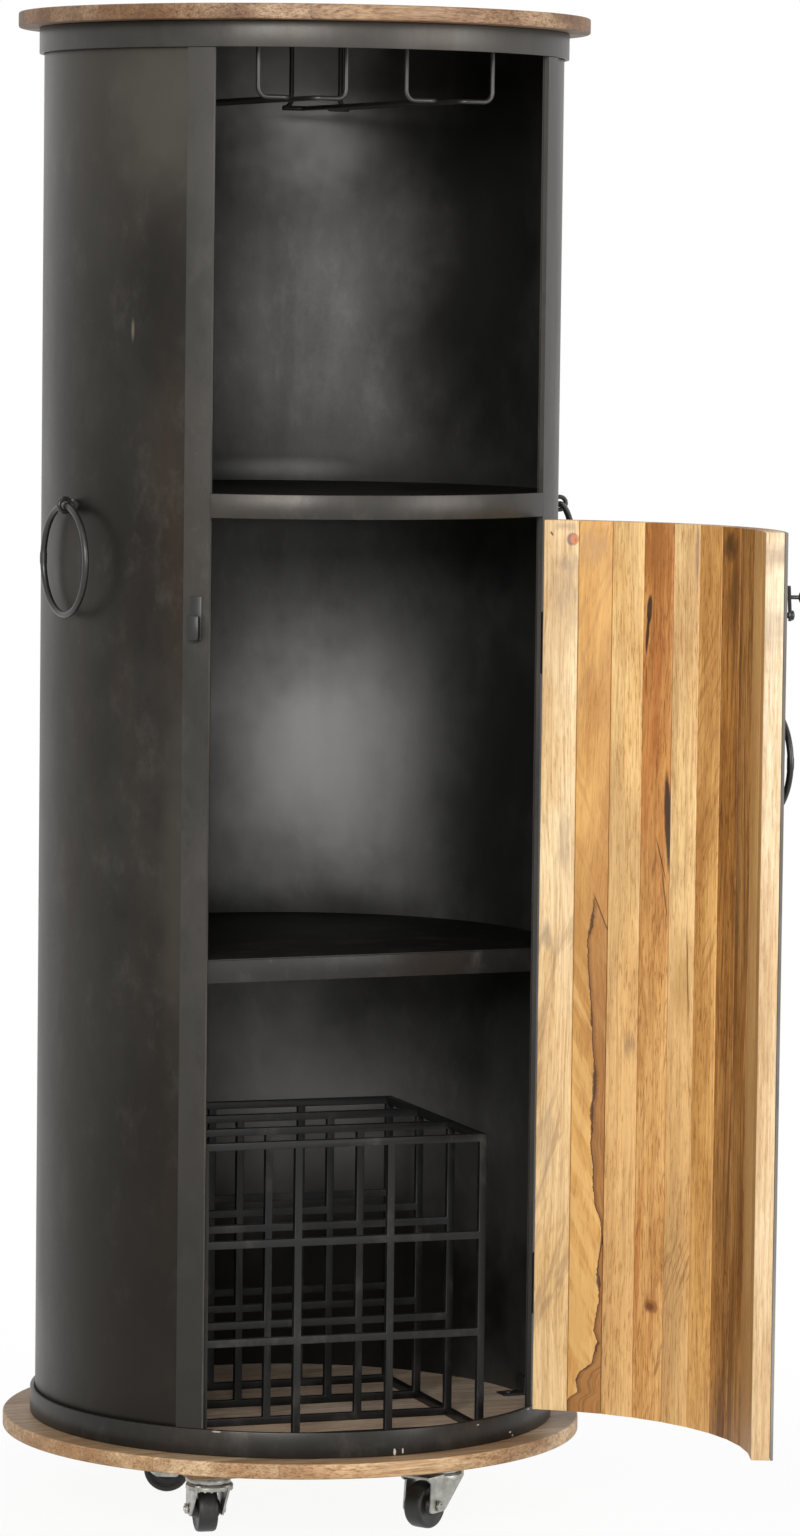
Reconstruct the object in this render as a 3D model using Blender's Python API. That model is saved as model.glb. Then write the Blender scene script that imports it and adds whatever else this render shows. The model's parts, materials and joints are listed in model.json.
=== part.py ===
"""Round wine bar cabinet on casters: a rolled sheet-metal drum between two wooden boards, with hanging
glass rails above, a hinged stave door in front of two lower compartments, and a bottle rack inside.

The origin is on the drum's axis at floor level, +Z is up and the opening faces -Y. Lengths are in
metres. Angles around the drum are measured from the front, positive towards the hinge side (+X).
"""

import math

import bmesh
import bpy
from mathutils import Matrix, Vector

# Clearances
SEAT_GAP = 0.0003
TURN_GAP = 0.0005
DOOR_GAP = 0.0025

# Boards and the battens under the base
TOP_OVERHANG = 0.0222
BASE_OVERHANG = 0.0292
BOARD_THICKNESS = 0.016
BOARD_EDGE_ROUND = 0.002
BATTEN_LENGTH = 0.360
BATTEN_WIDTH = 0.075
BATTEN_THICKNESS = 0.020

# Drum of rolled sheet with flat-bar bands, stiles and rail
SHELL_RADIUS = 0.2755
SHELL_HEIGHT = 1.477
SHEET = 0.0015
BAND_HEIGHT = 0.027
RAIL_HEIGHT = 0.025
BAND_THICKNESS = 0.005
BAND_CHAMFER = 0.0015
OPENING_HALF_ANGLE = math.radians(42.1)
STILE_WIDTH = 0.029
ROUND_STEP = math.radians(6)
TAB_ANGLES = [math.radians(a) for a in (89, 180, -89)]
TAB_WIDTH = 0.022
TAB_REACH = 0.024
TAB_THICKNESS = 0.002
TAB_HEIGHT = 0.020

# Shelves, as heights above the foot of the drum
UPPER_RAIL_RISE = 0.9956
UPPER_SHELF_DROP = 0.0025
LOWER_SHELF_RISE = 0.5106
LOWER_LIP_HEIGHT = 0.025
LOWER_LIP_OFFSET = 0.165

# Hanging glass rails of bent rod
ROD_RADIUS = 0.0026
ROD_BEND = 0.010
HANGER_WIDTH = 0.098
HANGER_SPACING = 0.166
HANGER_DROP = 0.076
HANGER_SLOT = 0.026
HANGER_FRONT = 0.190
HANGER_BACK = 0.163

# Bottle rack of welded square bar
RACK_BAR = 0.008
RACK_CELLS = 3
RACK_PITCH = 0.1022
RACK_RISE = 0.1035
RACK_GRIDS = 4
RACK_GRID_SPACING = 0.102
RACK_OFFSET = 0.025
RACK_SIDE = 0.0033
RACK_TURN = math.radians(-5)

# Door
DOOR_OPEN = math.radians(105)
DOOR_SHEET = 0.003
STAVE_COUNT = 10
STAVE_THICKNESS = 0.019
STAVE_BEVEL = 0.0008

# Barrel hinges
HINGE_RADIUS = 0.0045
HINGE_PIN_RADIUS = 0.003
HINGE_KNUCKLE = 0.034
HINGE_INSET = 0.130
HINGE_CROWN = 0.0025

# Eye bolts and rings
HANDLE_ANGLE = math.radians(80.5)
HANDLE_RISE = 0.978
DOOR_HANDLE_ANGLE = math.radians(-17)
DOOR_HANDLE_RISE = 0.788
EYE_RADIUS = 0.0070
EYE_WIRE = 0.0025
EYE_REACH = 0.0135
EYE_COLLAR_RADIUS = 0.0065
EYE_COLLAR = 0.0035
RING_RADIUS = 0.0567
RING_WIRE = 0.0034
LEFT_RING_TURN = math.radians(-7)

# Latch
LATCH_DROP = 0.0831
LATCH_INSET = 0.013
LEVER_LENGTH = 0.036
LEVER_LEAN = math.radians(40)
LEVER_WIDTH = 0.012
LEVER_THICKNESS = 0.003
LEVER_STANDOFF = 0.0022
PIVOT_RADIUS = 0.003
PIVOT_HEAD_RADIUS = 0.0055
PIVOT_HEAD = 0.003
KNOB_OFFSET = 0.0228
KNOB_LENGTH = 0.0120
KNOB_STEM_RADIUS = 0.0021
KNOB_HEAD_RADIUS = 0.0052
KNOB_HEAD = 0.0042
KEEPER_INSET = 0.0117
KEEPER_WIDTH = 0.013
KEEPER_PLATE = 0.002
KEEPER_POCKET = 0.0070
KEEPER_DROP = 0.041
KEEPER_HEIGHT = 0.046
KEEPER_TONGUE = 0.027
KEEPER_CORNER = 0.004

# Casters
CASTER_RING_RADIUS = 0.180
CASTER_SQUARE_TURN = math.radians(-6)
CASTER_HEIGHT = 0.070
CASTER_PLATE_SIDE = 0.060
CASTER_PLATE_THICKNESS = 0.003
CASTER_RACE_RADIUS = 0.0225
CASTER_RACE_HEIGHT = 0.009
KINGPIN_RADIUS = 0.005
KINGPIN_HEAD_RADIUS = 0.008
KINGPIN_HEAD = 0.002
TRAIL = 0.025
WHEEL_RADIUS = 0.025
WHEEL_WIDTH = 0.021
WHEEL_CHAMFER = 0.0025
HUB_RADIUS = 0.009
HUB_WIDTH = 0.030
FORK_SIDE_GAP = 0.0008
FORK_SHEET = 0.0025
FORK_SKIRT = 0.006
FORK_BACK = 0.0205
FORK_TAB_FRONT = 0.0185
FORK_NECK_FRONT = 0.0115
FORK_FOOT_FRONT = 0.0145
FORK_FOOT_BACK = 0.013
FORK_FOOT_DROP = 0.0065
FORK_CORNER = 0.003
CROWN_RADIUS = 0.0255
CROWN_ROUND = 0.002
AXLE_RADIUS = 0.003
AXLE_HEAD_RADIUS = 0.0058
AXLE_HEAD = 0.0032
AXLE_END = 0.0012
CASTER_HEADINGS = {
    "front_left": math.radians(78),
    "front_right": math.radians(210),
    "back_left": math.radians(-28),
    "back_right": math.radians(150),
}

# Facets of turned and bent pieces
BOARD_STEPS = 60
WHEEL_STEPS = 24
BARREL_STEPS = 12
RING_STEPS = 28
WIRE_STEPS = 8
BEND_STEPS = 4

# Heights, from the floor up
BATTEN_Z = CASTER_HEIGHT + SEAT_GAP
BASE_Z = BATTEN_Z + BATTEN_THICKNESS + SEAT_GAP
SHELL_Z = BASE_Z + BOARD_THICKNESS + SEAT_GAP
SHELL_TOP = SHELL_Z + SHELL_HEIGHT
TOP_BOARD_Z = SHELL_TOP + SEAT_GAP
SILL_TOP = SHELL_Z + BAND_HEIGHT
RAIL_TOP = SHELL_Z + UPPER_RAIL_RISE
RAIL_BOTTOM = RAIL_TOP - RAIL_HEIGHT
DOOR_BOTTOM = SILL_TOP + DOOR_GAP
DOOR_TOP = RAIL_BOTTOM - DOOR_GAP
LATCH_Z = DOOR_TOP - LATCH_DROP

# Radii and angles around the axis
SHELL_INNER = SHELL_RADIUS - SHEET
BAND_INNER = SHELL_RADIUS + SEAT_GAP
BAND_OUTER = BAND_INNER + BAND_THICKNESS
TOP_BOARD_RADIUS = BAND_OUTER + TOP_OVERHANG
BASE_BOARD_RADIUS = BAND_OUTER + BASE_OVERHANG
SHELF_RADIUS = SHELL_INNER - SEAT_GAP
STILE_OUTER_ANGLE = OPENING_HALF_ANGLE + STILE_WIDTH / BAND_OUTER
DOOR_HALF_ANGLE = OPENING_HALF_ANGLE - DOOR_GAP / BAND_OUTER
DOOR_SHEET_INNER = BAND_OUTER - DOOR_SHEET
STAVE_OUTER = DOOR_SHEET_INNER - SEAT_GAP
STAVE_INNER = STAVE_OUTER - STAVE_THICKNESS
HINGE_ANGLE = OPENING_HALF_ANGLE - DOOR_GAP / BAND_OUTER / 2
HINGE_AXIS_RADIUS = BAND_OUTER + HINGE_RADIUS + SEAT_GAP


def clear_scene():
    for obj in list(bpy.data.objects):
        bpy.data.objects.remove(obj, do_unlink=True)


def material(name, colour, roughness, metallic):
    """A Principled material with one colour, given as linear red, green and blue."""
    made = bpy.data.materials.new(name)
    made.use_nodes = True
    shader = made.node_tree.nodes["Principled BSDF"]
    shader.inputs["Base Color"].default_value = (*colour, 1)
    shader.inputs["Roughness"].default_value = roughness
    shader.inputs["Metallic"].default_value = metallic
    return made


def make_object(name, data, finish, parent=None):
    obj = bpy.data.objects.new(name, data)
    bpy.context.scene.collection.objects.link(obj)
    data.materials.append(finish)
    obj.parent = parent
    return obj


def mesh_object(name, bm, finish, parent=None, sharp=30):
    """Turns a finished bmesh into an object, smooth across edges flatter than the given degrees."""
    bmesh.ops.recalc_face_normals(bm, faces=bm.faces)
    mesh = bpy.data.meshes.new(name)
    bm.to_mesh(mesh)
    bm.free()
    mesh.shade_smooth()
    mesh.set_sharp_from_angle(angle=math.radians(sharp))
    return make_object(name, mesh, finish, parent)


def empty(name, place, turn=0.0, parent=None):
    """An axis that moving pieces hang on, turned about its own Z."""
    obj = bpy.data.objects.new(name, None)
    bpy.context.scene.collection.objects.link(obj)
    obj.empty_display_size = 0.03
    obj.parent = parent
    obj.location = place
    obj.rotation_euler.z = turn
    return obj


def boolean(obj, tool, operation):
    """Adds or cuts a helper solid, which stays in the file as a hidden guide."""
    modifier = obj.modifiers.new(operation.title(), "BOOLEAN")
    modifier.operation = operation
    modifier.object = tool
    tool.hide_render = True
    tool.display_type = "WIRE"


def polar(radius, angle, height=0.0):
    """A point of the drum: the angle runs from the front towards the hinge side."""
    return Vector((radius * math.sin(angle), -radius * math.cos(angle), height))


def facet_point(radius, angle):
    """A point of the facetted circle that all rolled pieces share, so that their gaps stay even."""
    off_middle = angle % ROUND_STEP - ROUND_STEP / 2
    return polar(facet_apothem(radius) / math.cos(off_middle), angle)


def facet_middle(angle):
    """The middle of the facet that holds an angle, where fittings sit flat."""
    return (math.floor(angle / ROUND_STEP) + 0.5) * ROUND_STEP


def facet_apothem(radius):
    return radius * math.cos(ROUND_STEP / 2)


def facet_arc(radius, start, end):
    """Points of the facetted circle from one angle to another."""
    first = math.floor(start / ROUND_STEP + 1e-6) + 1
    last = math.ceil(end / ROUND_STEP - 1e-6) - 1
    angles = [start] + [k * ROUND_STEP for k in range(first, last + 1)] + [end]
    return [facet_point(radius, a) for a in angles]


def add_prism(bm, outline, low, high):
    """Raises a flat outline into a closed solid between two heights."""
    face = bm.faces.new([bm.verts.new((x[0], x[1], low)) for x in outline])
    raised = bmesh.ops.extrude_face_region(bm, geom=[face])["geom"]
    top = [v for v in raised if isinstance(v, bmesh.types.BMVert)]
    bmesh.ops.translate(bm, verts=top, vec=(0, 0, high - low))


def prism(name, outline, low, high, finish, parent=None):
    bm = bmesh.new()
    add_prism(bm, outline, low, high)
    return mesh_object(name, bm, finish, parent)


def box(name, centre, size, finish, parent=None, bevel=0.0):
    """A block, with its edges broken by an optional bevel."""
    bm = bmesh.new()
    bmesh.ops.create_cube(bm, size=1, matrix=Matrix.Translation(centre) @ Matrix.Diagonal((*size, 1)))
    if bevel:
        bmesh.ops.bevel(bm, geom=bm.edges[:], offset=bevel, segments=1, affect="EDGES")
    return mesh_object(name, bm, finish, parent)


def arc_bar(name, inner, outer, start, end, low, high, finish, parent=None):
    """A bar rolled to the drum: inner and outer radius, two angles and two heights."""
    outline = facet_arc(outer, start, end) + facet_arc(inner, start, end)[::-1]
    return prism(name, outline, low, high, finish, parent)


def spun(profile, steps, closed):
    """Spins points (radius, height) about Z. A closed profile is a ring that stays off the axis."""
    bm = bmesh.new()
    verts = [bm.verts.new((r, 0, z)) for r, z in profile]
    pairs = list(zip(verts, verts[1:])) + ([(verts[-1], verts[0])] if closed else [])
    edges = [bm.edges.new(pair) for pair in pairs]
    bmesh.ops.spin(
        bm, geom=verts + edges, axis=(0, 0, 1), cent=(0, 0, 0), steps=steps, angle=math.tau, use_merge=True
    )
    bmesh.ops.remove_doubles(bm, verts=bm.verts, dist=1e-6)
    return bm


def turned(name, profile, steps, finish, parent=None, closed=False, place=None):
    """A turned solid, put in place by an optional matrix."""
    bm = spun(profile, steps, closed)
    if place is not None:
        bm.transform(place)
    return mesh_object(name, bm, finish, parent)


def torus(name, radius, wire, steps, finish, parent=None, place=None):
    profile = []
    for k in range(WIRE_STEPS):
        a = math.tau * (k + 0.5) / WIRE_STEPS
        profile.append((radius + wire * math.cos(a), wire * math.sin(a)))
    return turned(name, profile, steps, finish, parent, True, place)


def quarter(centre, radius, start, steps=2):
    """Points of a quarter round, from a start angle in degrees, anticlockwise."""
    turns = [math.radians(start + 90 * k / steps) for k in range(steps + 1)]
    return [(centre[0] + radius * math.cos(t), centre[1] + radius * math.sin(t)) for t in turns]


def bent_path(corners, bend):
    """The corners of a rod's centre line with each inner corner rounded to the bend radius."""
    points = [corners[0]]
    for before, here, after in zip(corners, corners[1:], corners[2:]):
        inward = (before - here).normalized()
        onward = (after - here).normalized()
        half = inward.angle(onward) / 2
        middle = here + (inward + onward).normalized() * bend / math.sin(half)
        first = here + inward * bend / math.tan(half)
        last = here + onward * bend / math.tan(half)
        arm, far = first - middle, last - middle
        sweep = arm.angle(far)
        for k in range(BEND_STEPS + 1):
            t = k / BEND_STEPS
            points.append(middle + (arm * math.sin((1 - t) * sweep) + far * math.sin(t * sweep)) / math.sin(sweep))
    return points + [corners[-1]]


def rod(name, corners, radius, bend, finish):
    """A round rod bent along its corners, as a bevelled curve with filled ends."""
    curve = bpy.data.curves.new(name, "CURVE")
    curve.dimensions = "3D"
    curve.bevel_depth = radius
    curve.bevel_resolution = (WIRE_STEPS - 4) // 2
    curve.use_fill_caps = True
    path = bent_path(corners, bend)
    spline = curve.splines.new("POLY")
    spline.points.add(len(path) - 1)
    for point, place in zip(spline.points, path):
        point.co = (*place, 1)
    return make_object(name, curve, finish)


# Boards


def board_profile(radius):
    edge = BOARD_EDGE_ROUND
    lower = quarter((radius - edge, edge), edge, -90)
    upper = quarter((radius - edge, BOARD_THICKNESS - edge), edge, 0)
    return [(0, 0)] + lower + upper + [(0, BOARD_THICKNESS)]


def build_boards(wood):
    turned(
        "top_board", board_profile(TOP_BOARD_RADIUS), BOARD_STEPS, wood, place=Matrix.Translation((0, 0, TOP_BOARD_Z))
    )
    turned("base_board", board_profile(BASE_BOARD_RADIUS), BOARD_STEPS, wood, place=Matrix.Translation((0, 0, BASE_Z)))
    pad_offset = CASTER_RING_RADIUS * math.sin(math.pi / 4)
    for name, side in (("base_batten_left", -1), ("base_batten_right", 1)):
        centre = (side * pad_offset, 0, BATTEN_Z + BATTEN_THICKNESS / 2)
        batten = box(name, centre, (BATTEN_WIDTH, BATTEN_LENGTH, BATTEN_THICKNESS), wood, bevel=0.002)
        batten.rotation_euler.z = CASTER_SQUARE_TURN


# Drum


def build_shell(sheet):
    outline = facet_arc(SHELL_RADIUS, OPENING_HALF_ANGLE, math.tau - OPENING_HALF_ANGLE)
    outline += facet_arc(SHELL_INNER, OPENING_HALF_ANGLE, math.tau - OPENING_HALF_ANGLE)[::-1]
    shell = prism("body_shell", outline, SHELL_Z, SHELL_TOP, sheet)
    # Welded angle tabs that screw the drum down to the base board.
    bite = SHEET / 2
    side = [
        (-bite, 0),
        (TAB_REACH, 0),
        (TAB_REACH, TAB_THICKNESS),
        (TAB_THICKNESS, TAB_THICKNESS),
        (TAB_THICKNESS, TAB_HEIGHT),
        (-bite, TAB_HEIGHT),
    ]
    for k, angle in enumerate(TAB_ANGLES):
        middle = facet_middle(angle)
        bm = bmesh.new()
        add_prism(bm, side, -TAB_WIDTH / 2, TAB_WIDTH / 2)
        # The outline's first axis points to the drum's axis, its second one up.
        frame = Matrix.Rotation(middle + math.pi / 2, 4, "Z") @ Matrix.Rotation(math.pi / 2, 4, "X")
        bm.transform(Matrix.Translation(polar(facet_apothem(SHELL_INNER), middle, SHELL_Z)) @ frame)
        boolean(shell, mesh_object("tab_%d_guide" % k, bm, sheet), "UNION")


def build_frame(bar):
    count = round(math.tau / ROUND_STEP)
    # The bottom hoop's upper edge is broken, because it shows as a ledge round the drum.
    for name, low, edge in (("top_band", SHELL_TOP - BAND_HEIGHT, 0), ("bottom_band", SHELL_Z, BAND_CHAMFER)):
        high = low + BAND_HEIGHT
        profile = [(BAND_INNER, low), (BAND_OUTER, low), (BAND_OUTER, high - edge)]
        profile += [(BAND_OUTER - edge, high)] if edge else []
        profile += [(BAND_INNER, high)]
        bm = bmesh.new()
        loops = []
        for radius, z in profile:
            ring = [facet_point(radius, k * ROUND_STEP) for k in range(count)]
            loops.append([bm.verts.new((p.x, p.y, z)) for p in ring])
        for first, second in zip(loops, loops[1:] + loops[:1]):
            for k in range(count):
                m = (k + 1) % count
                bm.faces.new((first[k], first[m], second[m], second[k]))
        mesh_object(name, bm, bar)
    low, high = SILL_TOP + SEAT_GAP, SHELL_TOP - BAND_HEIGHT - SEAT_GAP
    arc_bar("left_stile", BAND_INNER, BAND_OUTER, -STILE_OUTER_ANGLE, -OPENING_HALF_ANGLE, low, high, bar)
    arc_bar("right_stile", BAND_INNER, BAND_OUTER, OPENING_HALF_ANGLE, STILE_OUTER_ANGLE, low, high, bar)


def build_shelves(sheet):
    reach = OPENING_HALF_ANGLE - SEAT_GAP / SHELL_INNER
    shelf_top = RAIL_TOP - UPPER_SHELF_DROP
    outline = facet_arc(SHELF_RADIUS, reach, math.tau - reach) + facet_arc(BAND_INNER + BAND_THICKNESS / 2, -reach, reach)
    upper = prism("upper_shelf", outline, shelf_top - SHEET, shelf_top, sheet)
    lip = arc_bar("upper_lip_guide", BAND_INNER, BAND_OUTER, -reach, reach, RAIL_BOTTOM, RAIL_TOP, sheet)
    boolean(upper, lip, "UNION")
    # The lower shelf stops at a straight folded lip behind the door.
    shelf_top = SHELL_Z + LOWER_SHELF_RISE
    corner = math.acos(LOWER_LIP_OFFSET / SHELF_RADIUS)
    outline = facet_arc(SHELF_RADIUS, corner, math.tau - corner)
    lower = prism("lower_shelf", outline, shelf_top - SHEET, shelf_top, sheet)
    half = abs(outline[0].x) - SHEET
    front = outline[0].y
    lip = [(-half, front), (half, front), (half, front + SHEET), (-half, front + SHEET)]
    boolean(lower, prism("lower_lip_guide", lip, shelf_top - LOWER_LIP_HEIGHT, shelf_top - SHEET / 2, sheet), "UNION")


# Fittings inside


def build_glass_rails(steel):
    top = TOP_BOARD_Z - SEAT_GAP
    low = TOP_BOARD_Z - HANGER_DROP
    for hanger, centre in (("left", -HANGER_SPACING / 2), ("right", HANGER_SPACING / 2)):
        for rail, side in (("left", -1), ("right", 1)):
            post = centre + side * HANGER_WIDTH / 2
            run = centre + side * HANGER_SLOT / 2
            corners = [
                Vector((post, -HANGER_FRONT, top)),
                Vector((post, -HANGER_FRONT, low)),
                Vector((run, -HANGER_FRONT, low)),
                Vector((run, HANGER_BACK, low)),
                Vector((post, HANGER_BACK, low)),
                Vector((post, HANGER_BACK, top)),
            ]
            rod("%s_hanger_%s_rail" % (hanger, rail), corners, ROD_RADIUS, ROD_BEND, steel)


def build_bottle_rack(bar):
    rack = empty("rack_place", (-RACK_SIDE, -RACK_OFFSET, SHELL_Z), RACK_TURN)
    count = RACK_CELLS + 1
    width = RACK_CELLS * RACK_PITCH

    def stops(pitch, start):
        """Both sides of each bar, in order."""
        return [start + k * pitch + side * RACK_BAR / 2 for k in range(count) for side in (-1, 1)]

    across, up = stops(RACK_PITCH, -width / 2), stops(RACK_RISE, RACK_BAR / 2)
    for grid in range(RACK_GRIDS):
        front = (grid - (RACK_GRIDS - 1) / 2) * RACK_GRID_SPACING - RACK_BAR / 2
        bm = bmesh.new()
        verts = [[bm.verts.new((x, front, z)) for x in across] for z in up]
        for row in range(len(up) - 1):
            for column in range(len(across) - 1):
                if row % 2 and column % 2:
                    continue
                corner = (verts[row][column], verts[row][column + 1])
                bm.faces.new((*corner, verts[row + 1][column + 1], verts[row + 1][column]))
        raised = bmesh.ops.extrude_face_region(bm, geom=bm.faces[:])["geom"]
        back = [v for v in raised if isinstance(v, bmesh.types.BMVert)]
        bmesh.ops.translate(bm, verts=back, vec=(0, RACK_BAR, 0))
        if grid < RACK_GRIDS - 1:
            add_rack_rails(bm, front + RACK_BAR, width / 2, RACK_CELLS * RACK_RISE + RACK_BAR / 2)
        mesh_object("rack_grid_%d" % (grid + 1), bm, bar, rack)


def add_rack_rails(bm, back, half_width, top_bar):
    """Draws the four corner rails back from a grid to the next one."""
    length = RACK_GRID_SPACING - RACK_BAR - SEAT_GAP
    corners = []
    for face in bm.faces:
        middle = face.calc_center_median()
        at_side = abs(abs(middle.x) - half_width) < RACK_BAR / 4
        at_end = min(abs(middle.z - RACK_BAR / 2), abs(middle.z - top_bar)) < RACK_BAR / 4
        if at_side and at_end and abs(middle.y - back) < RACK_BAR / 4:
            corners.append(face)
    for face in corners:
        raised = bmesh.ops.extrude_discrete_faces(bm, faces=[face])["faces"]
        bmesh.ops.translate(bm, verts=raised[0].verts, vec=(0, length, 0))


# Rings on eye bolts


def build_ring_handle(prefix, angle, face_radius, height, steel, parent=None, shift=None, ring_turn=0.0):
    """An eye bolt on a round face and the ring that hangs in it. Returns the ring's axis empty."""
    shift = shift or Vector((0, 0, 0))
    middle = facet_middle(angle)
    # Local X points straight out of the face, local Y runs along it.
    out = Matrix.Rotation(middle - math.pi / 2, 4, "Z")
    base = Matrix.Translation(polar(facet_apothem(face_radius), middle, height) - shift) @ out
    lie = Matrix.Rotation(math.pi / 2, 4, "Y")
    stand = Matrix.Rotation(math.pi / 2, 4, "X")
    shank_end = EYE_REACH - EYE_RADIUS
    shank = [
        (0, SEAT_GAP),
        (EYE_COLLAR_RADIUS, SEAT_GAP),
        (EYE_COLLAR_RADIUS, EYE_COLLAR),
        (EYE_WIRE * 1.15, EYE_COLLAR + EYE_WIRE / 2),
        (EYE_WIRE * 1.15, shank_end),
        (0, shank_end),
    ]
    eye = torus(
        prefix + "_eye", EYE_RADIUS, EYE_WIRE, 16, steel, parent, base @ Matrix.Translation((EYE_REACH, 0, 0)) @ stand
    )
    boolean(eye, turned(prefix + "_shank_guide", shank, 12, steel, parent, place=base @ lie), "UNION")
    slack = EYE_RADIUS - EYE_WIRE - RING_WIRE - SEAT_GAP
    axis = empty(prefix + "_ring_axis", base @ Vector((EYE_REACH, 0, -slack)), middle + ring_turn, parent)
    hang = Matrix.Translation((0, 0, -RING_RADIUS)) @ stand
    torus(prefix + "_ring", RING_RADIUS, RING_WIRE, RING_STEPS, steel, axis, hang)
    return axis


# Door


def build_hinges(steel, door):
    """Two weld-on barrel hinges: a lower knuckle with its pin on the stile, an upper one on the door."""
    bore = HINGE_PIN_RADIUS + SEAT_GAP
    outer, crown = HINGE_RADIUS, HINGE_CROWN
    floor = 2 * crown
    upper = [
        (0, HINGE_KNUCKLE - floor),
        (bore, HINGE_KNUCKLE - floor),
        (bore, 0),
        (outer, 0),
        (outer, HINGE_KNUCKLE - crown),
        (outer - crown, HINGE_KNUCKLE),
        (0, HINGE_KNUCKLE),
    ]
    pin_top = HINGE_KNUCKLE - floor - SEAT_GAP
    lower = [
        (0, -HINGE_KNUCKLE),
        (outer - crown, -HINGE_KNUCKLE),
        (outer, crown - HINGE_KNUCKLE),
        (outer, -SEAT_GAP),
        (HINGE_PIN_RADIUS, -SEAT_GAP),
        (HINGE_PIN_RADIUS, pin_top - HINGE_PIN_RADIUS / 2),
        (HINGE_PIN_RADIUS / 2, pin_top),
        (0, pin_top),
    ]
    for name, z in (("lower_hinge", DOOR_BOTTOM + HINGE_INSET), ("upper_hinge", DOOR_TOP - HINGE_INSET)):
        hinge_line = polar(HINGE_AXIS_RADIUS, HINGE_ANGLE, z)
        turned(name + "_pin_knuckle", lower, BARREL_STEPS, steel, place=Matrix.Translation(hinge_line))
        turned(name + "_door_knuckle", upper, BARREL_STEPS, steel, door, place=Matrix.Translation((0, 0, z)))


def build_door(sheet, bar_steel, woods):
    hinge = polar(HINGE_AXIS_RADIUS, HINGE_ANGLE)
    door = empty("door_axis", hinge, DOOR_OPEN)

    def shifted(points):
        return [p - hinge for p in points]

    half = DOOR_HALF_ANGLE
    skin = facet_arc(BAND_OUTER, -half, half) + facet_arc(DOOR_SHEET_INNER, -half, half)[::-1]
    prism("door_skin", shifted(skin), DOOR_BOTTOM, DOOR_TOP, sheet, door)
    step = 2 * half / STAVE_COUNT
    gap = SEAT_GAP / STAVE_OUTER / 2
    for k in range(STAVE_COUNT):
        start, end = half - (k + 1) * step + gap, half - k * step - gap
        # Round to the sheet outside, flat inside with broken edges along the joints.
        edge = STAVE_BEVEL / STAVE_INNER
        inner = [
            polar(STAVE_INNER + STAVE_BEVEL, end),
            polar(STAVE_INNER, end - edge),
            polar(STAVE_INNER, start + edge),
            polar(STAVE_INNER + STAVE_BEVEL, start),
        ]
        outline = facet_arc(STAVE_OUTER, start, end) + inner
        prism("door_stave_%02d" % (k + 1), shifted(outline), DOOR_BOTTOM, DOOR_TOP, woods[k % len(woods)], door)
    build_hinges(bar_steel, door)
    build_latch(bar_steel, door, hinge)
    ring_height = SHELL_Z + DOOR_HANDLE_RISE
    build_ring_handle("door", DOOR_HANDLE_ANGLE, BAND_OUTER, ring_height, bar_steel, door, hinge)


def build_latch(steel, door, hinge):
    """A lever with a knob that turns on a screw at the door's free edge and drops behind a keeper."""
    angle = facet_middle(LATCH_INSET / BAND_OUTER - DOOR_HALF_ANGLE)
    # Local Z of the axis points straight out of the door, local Y up.
    axis = empty("latch_axis", polar(facet_apothem(BAND_OUTER), angle, LATCH_Z) - hinge, parent=door)
    axis.rotation_euler = (math.pi / 2, 0, angle)
    bore = PIVOT_RADIUS + SEAT_GAP
    low = LEVER_STANDOFF
    high = low + LEVER_THICKNESS
    # At rest the lever leans back from the free edge.
    side, rise = math.sin(LEVER_LEAN), math.cos(LEVER_LEAN)
    ends = []
    for start, offset in ((0, LEVER_LENGTH - LEVER_WIDTH / 2), (math.pi, 0)):
        for turn in range(9):
            a = start + math.pi * turn / 8
            x, y = LEVER_WIDTH / 2 * math.cos(a), offset + LEVER_WIDTH / 2 * math.sin(a)
            ends.append((x * rise + y * side, y * rise - x * side))
    lever = prism("latch_lever", ends, low, high, steel, axis)
    hole = turned(
        "lever_bore_guide", [(0, high + low), (bore, high + low), (bore, low / 2), (0, low / 2)], 12, steel, axis
    )
    boolean(lever, hole, "DIFFERENCE")
    tip = high + KNOB_LENGTH
    knob = [
        (0, tip),
        (KNOB_HEAD_RADIUS * 0.6, tip - KNOB_HEAD * 0.12),
        (KNOB_HEAD_RADIUS, tip - KNOB_HEAD * 0.5),
        (KNOB_HEAD_RADIUS, tip - KNOB_HEAD * 0.75),
        (KNOB_STEM_RADIUS, tip - KNOB_HEAD),
        (KNOB_STEM_RADIUS, high - LEVER_THICKNESS / 2),
        (0, high - LEVER_THICKNESS / 2),
    ]
    place = Matrix.Translation((KNOB_OFFSET * side, KNOB_OFFSET * rise, 0))
    boolean(lever, turned("lever_knob_guide", knob, 12, steel, axis, place=place), "UNION")
    head = high + TURN_GAP
    screw = [
        (0, SEAT_GAP),
        (PIVOT_RADIUS, SEAT_GAP),
        (PIVOT_RADIUS, head),
        (PIVOT_HEAD_RADIUS, head),
        (PIVOT_HEAD_RADIUS * 0.75, head + PIVOT_HEAD * 0.7),
        (0, head + PIVOT_HEAD),
    ]
    turned("latch_pivot", screw, 12, steel, axis)


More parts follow.
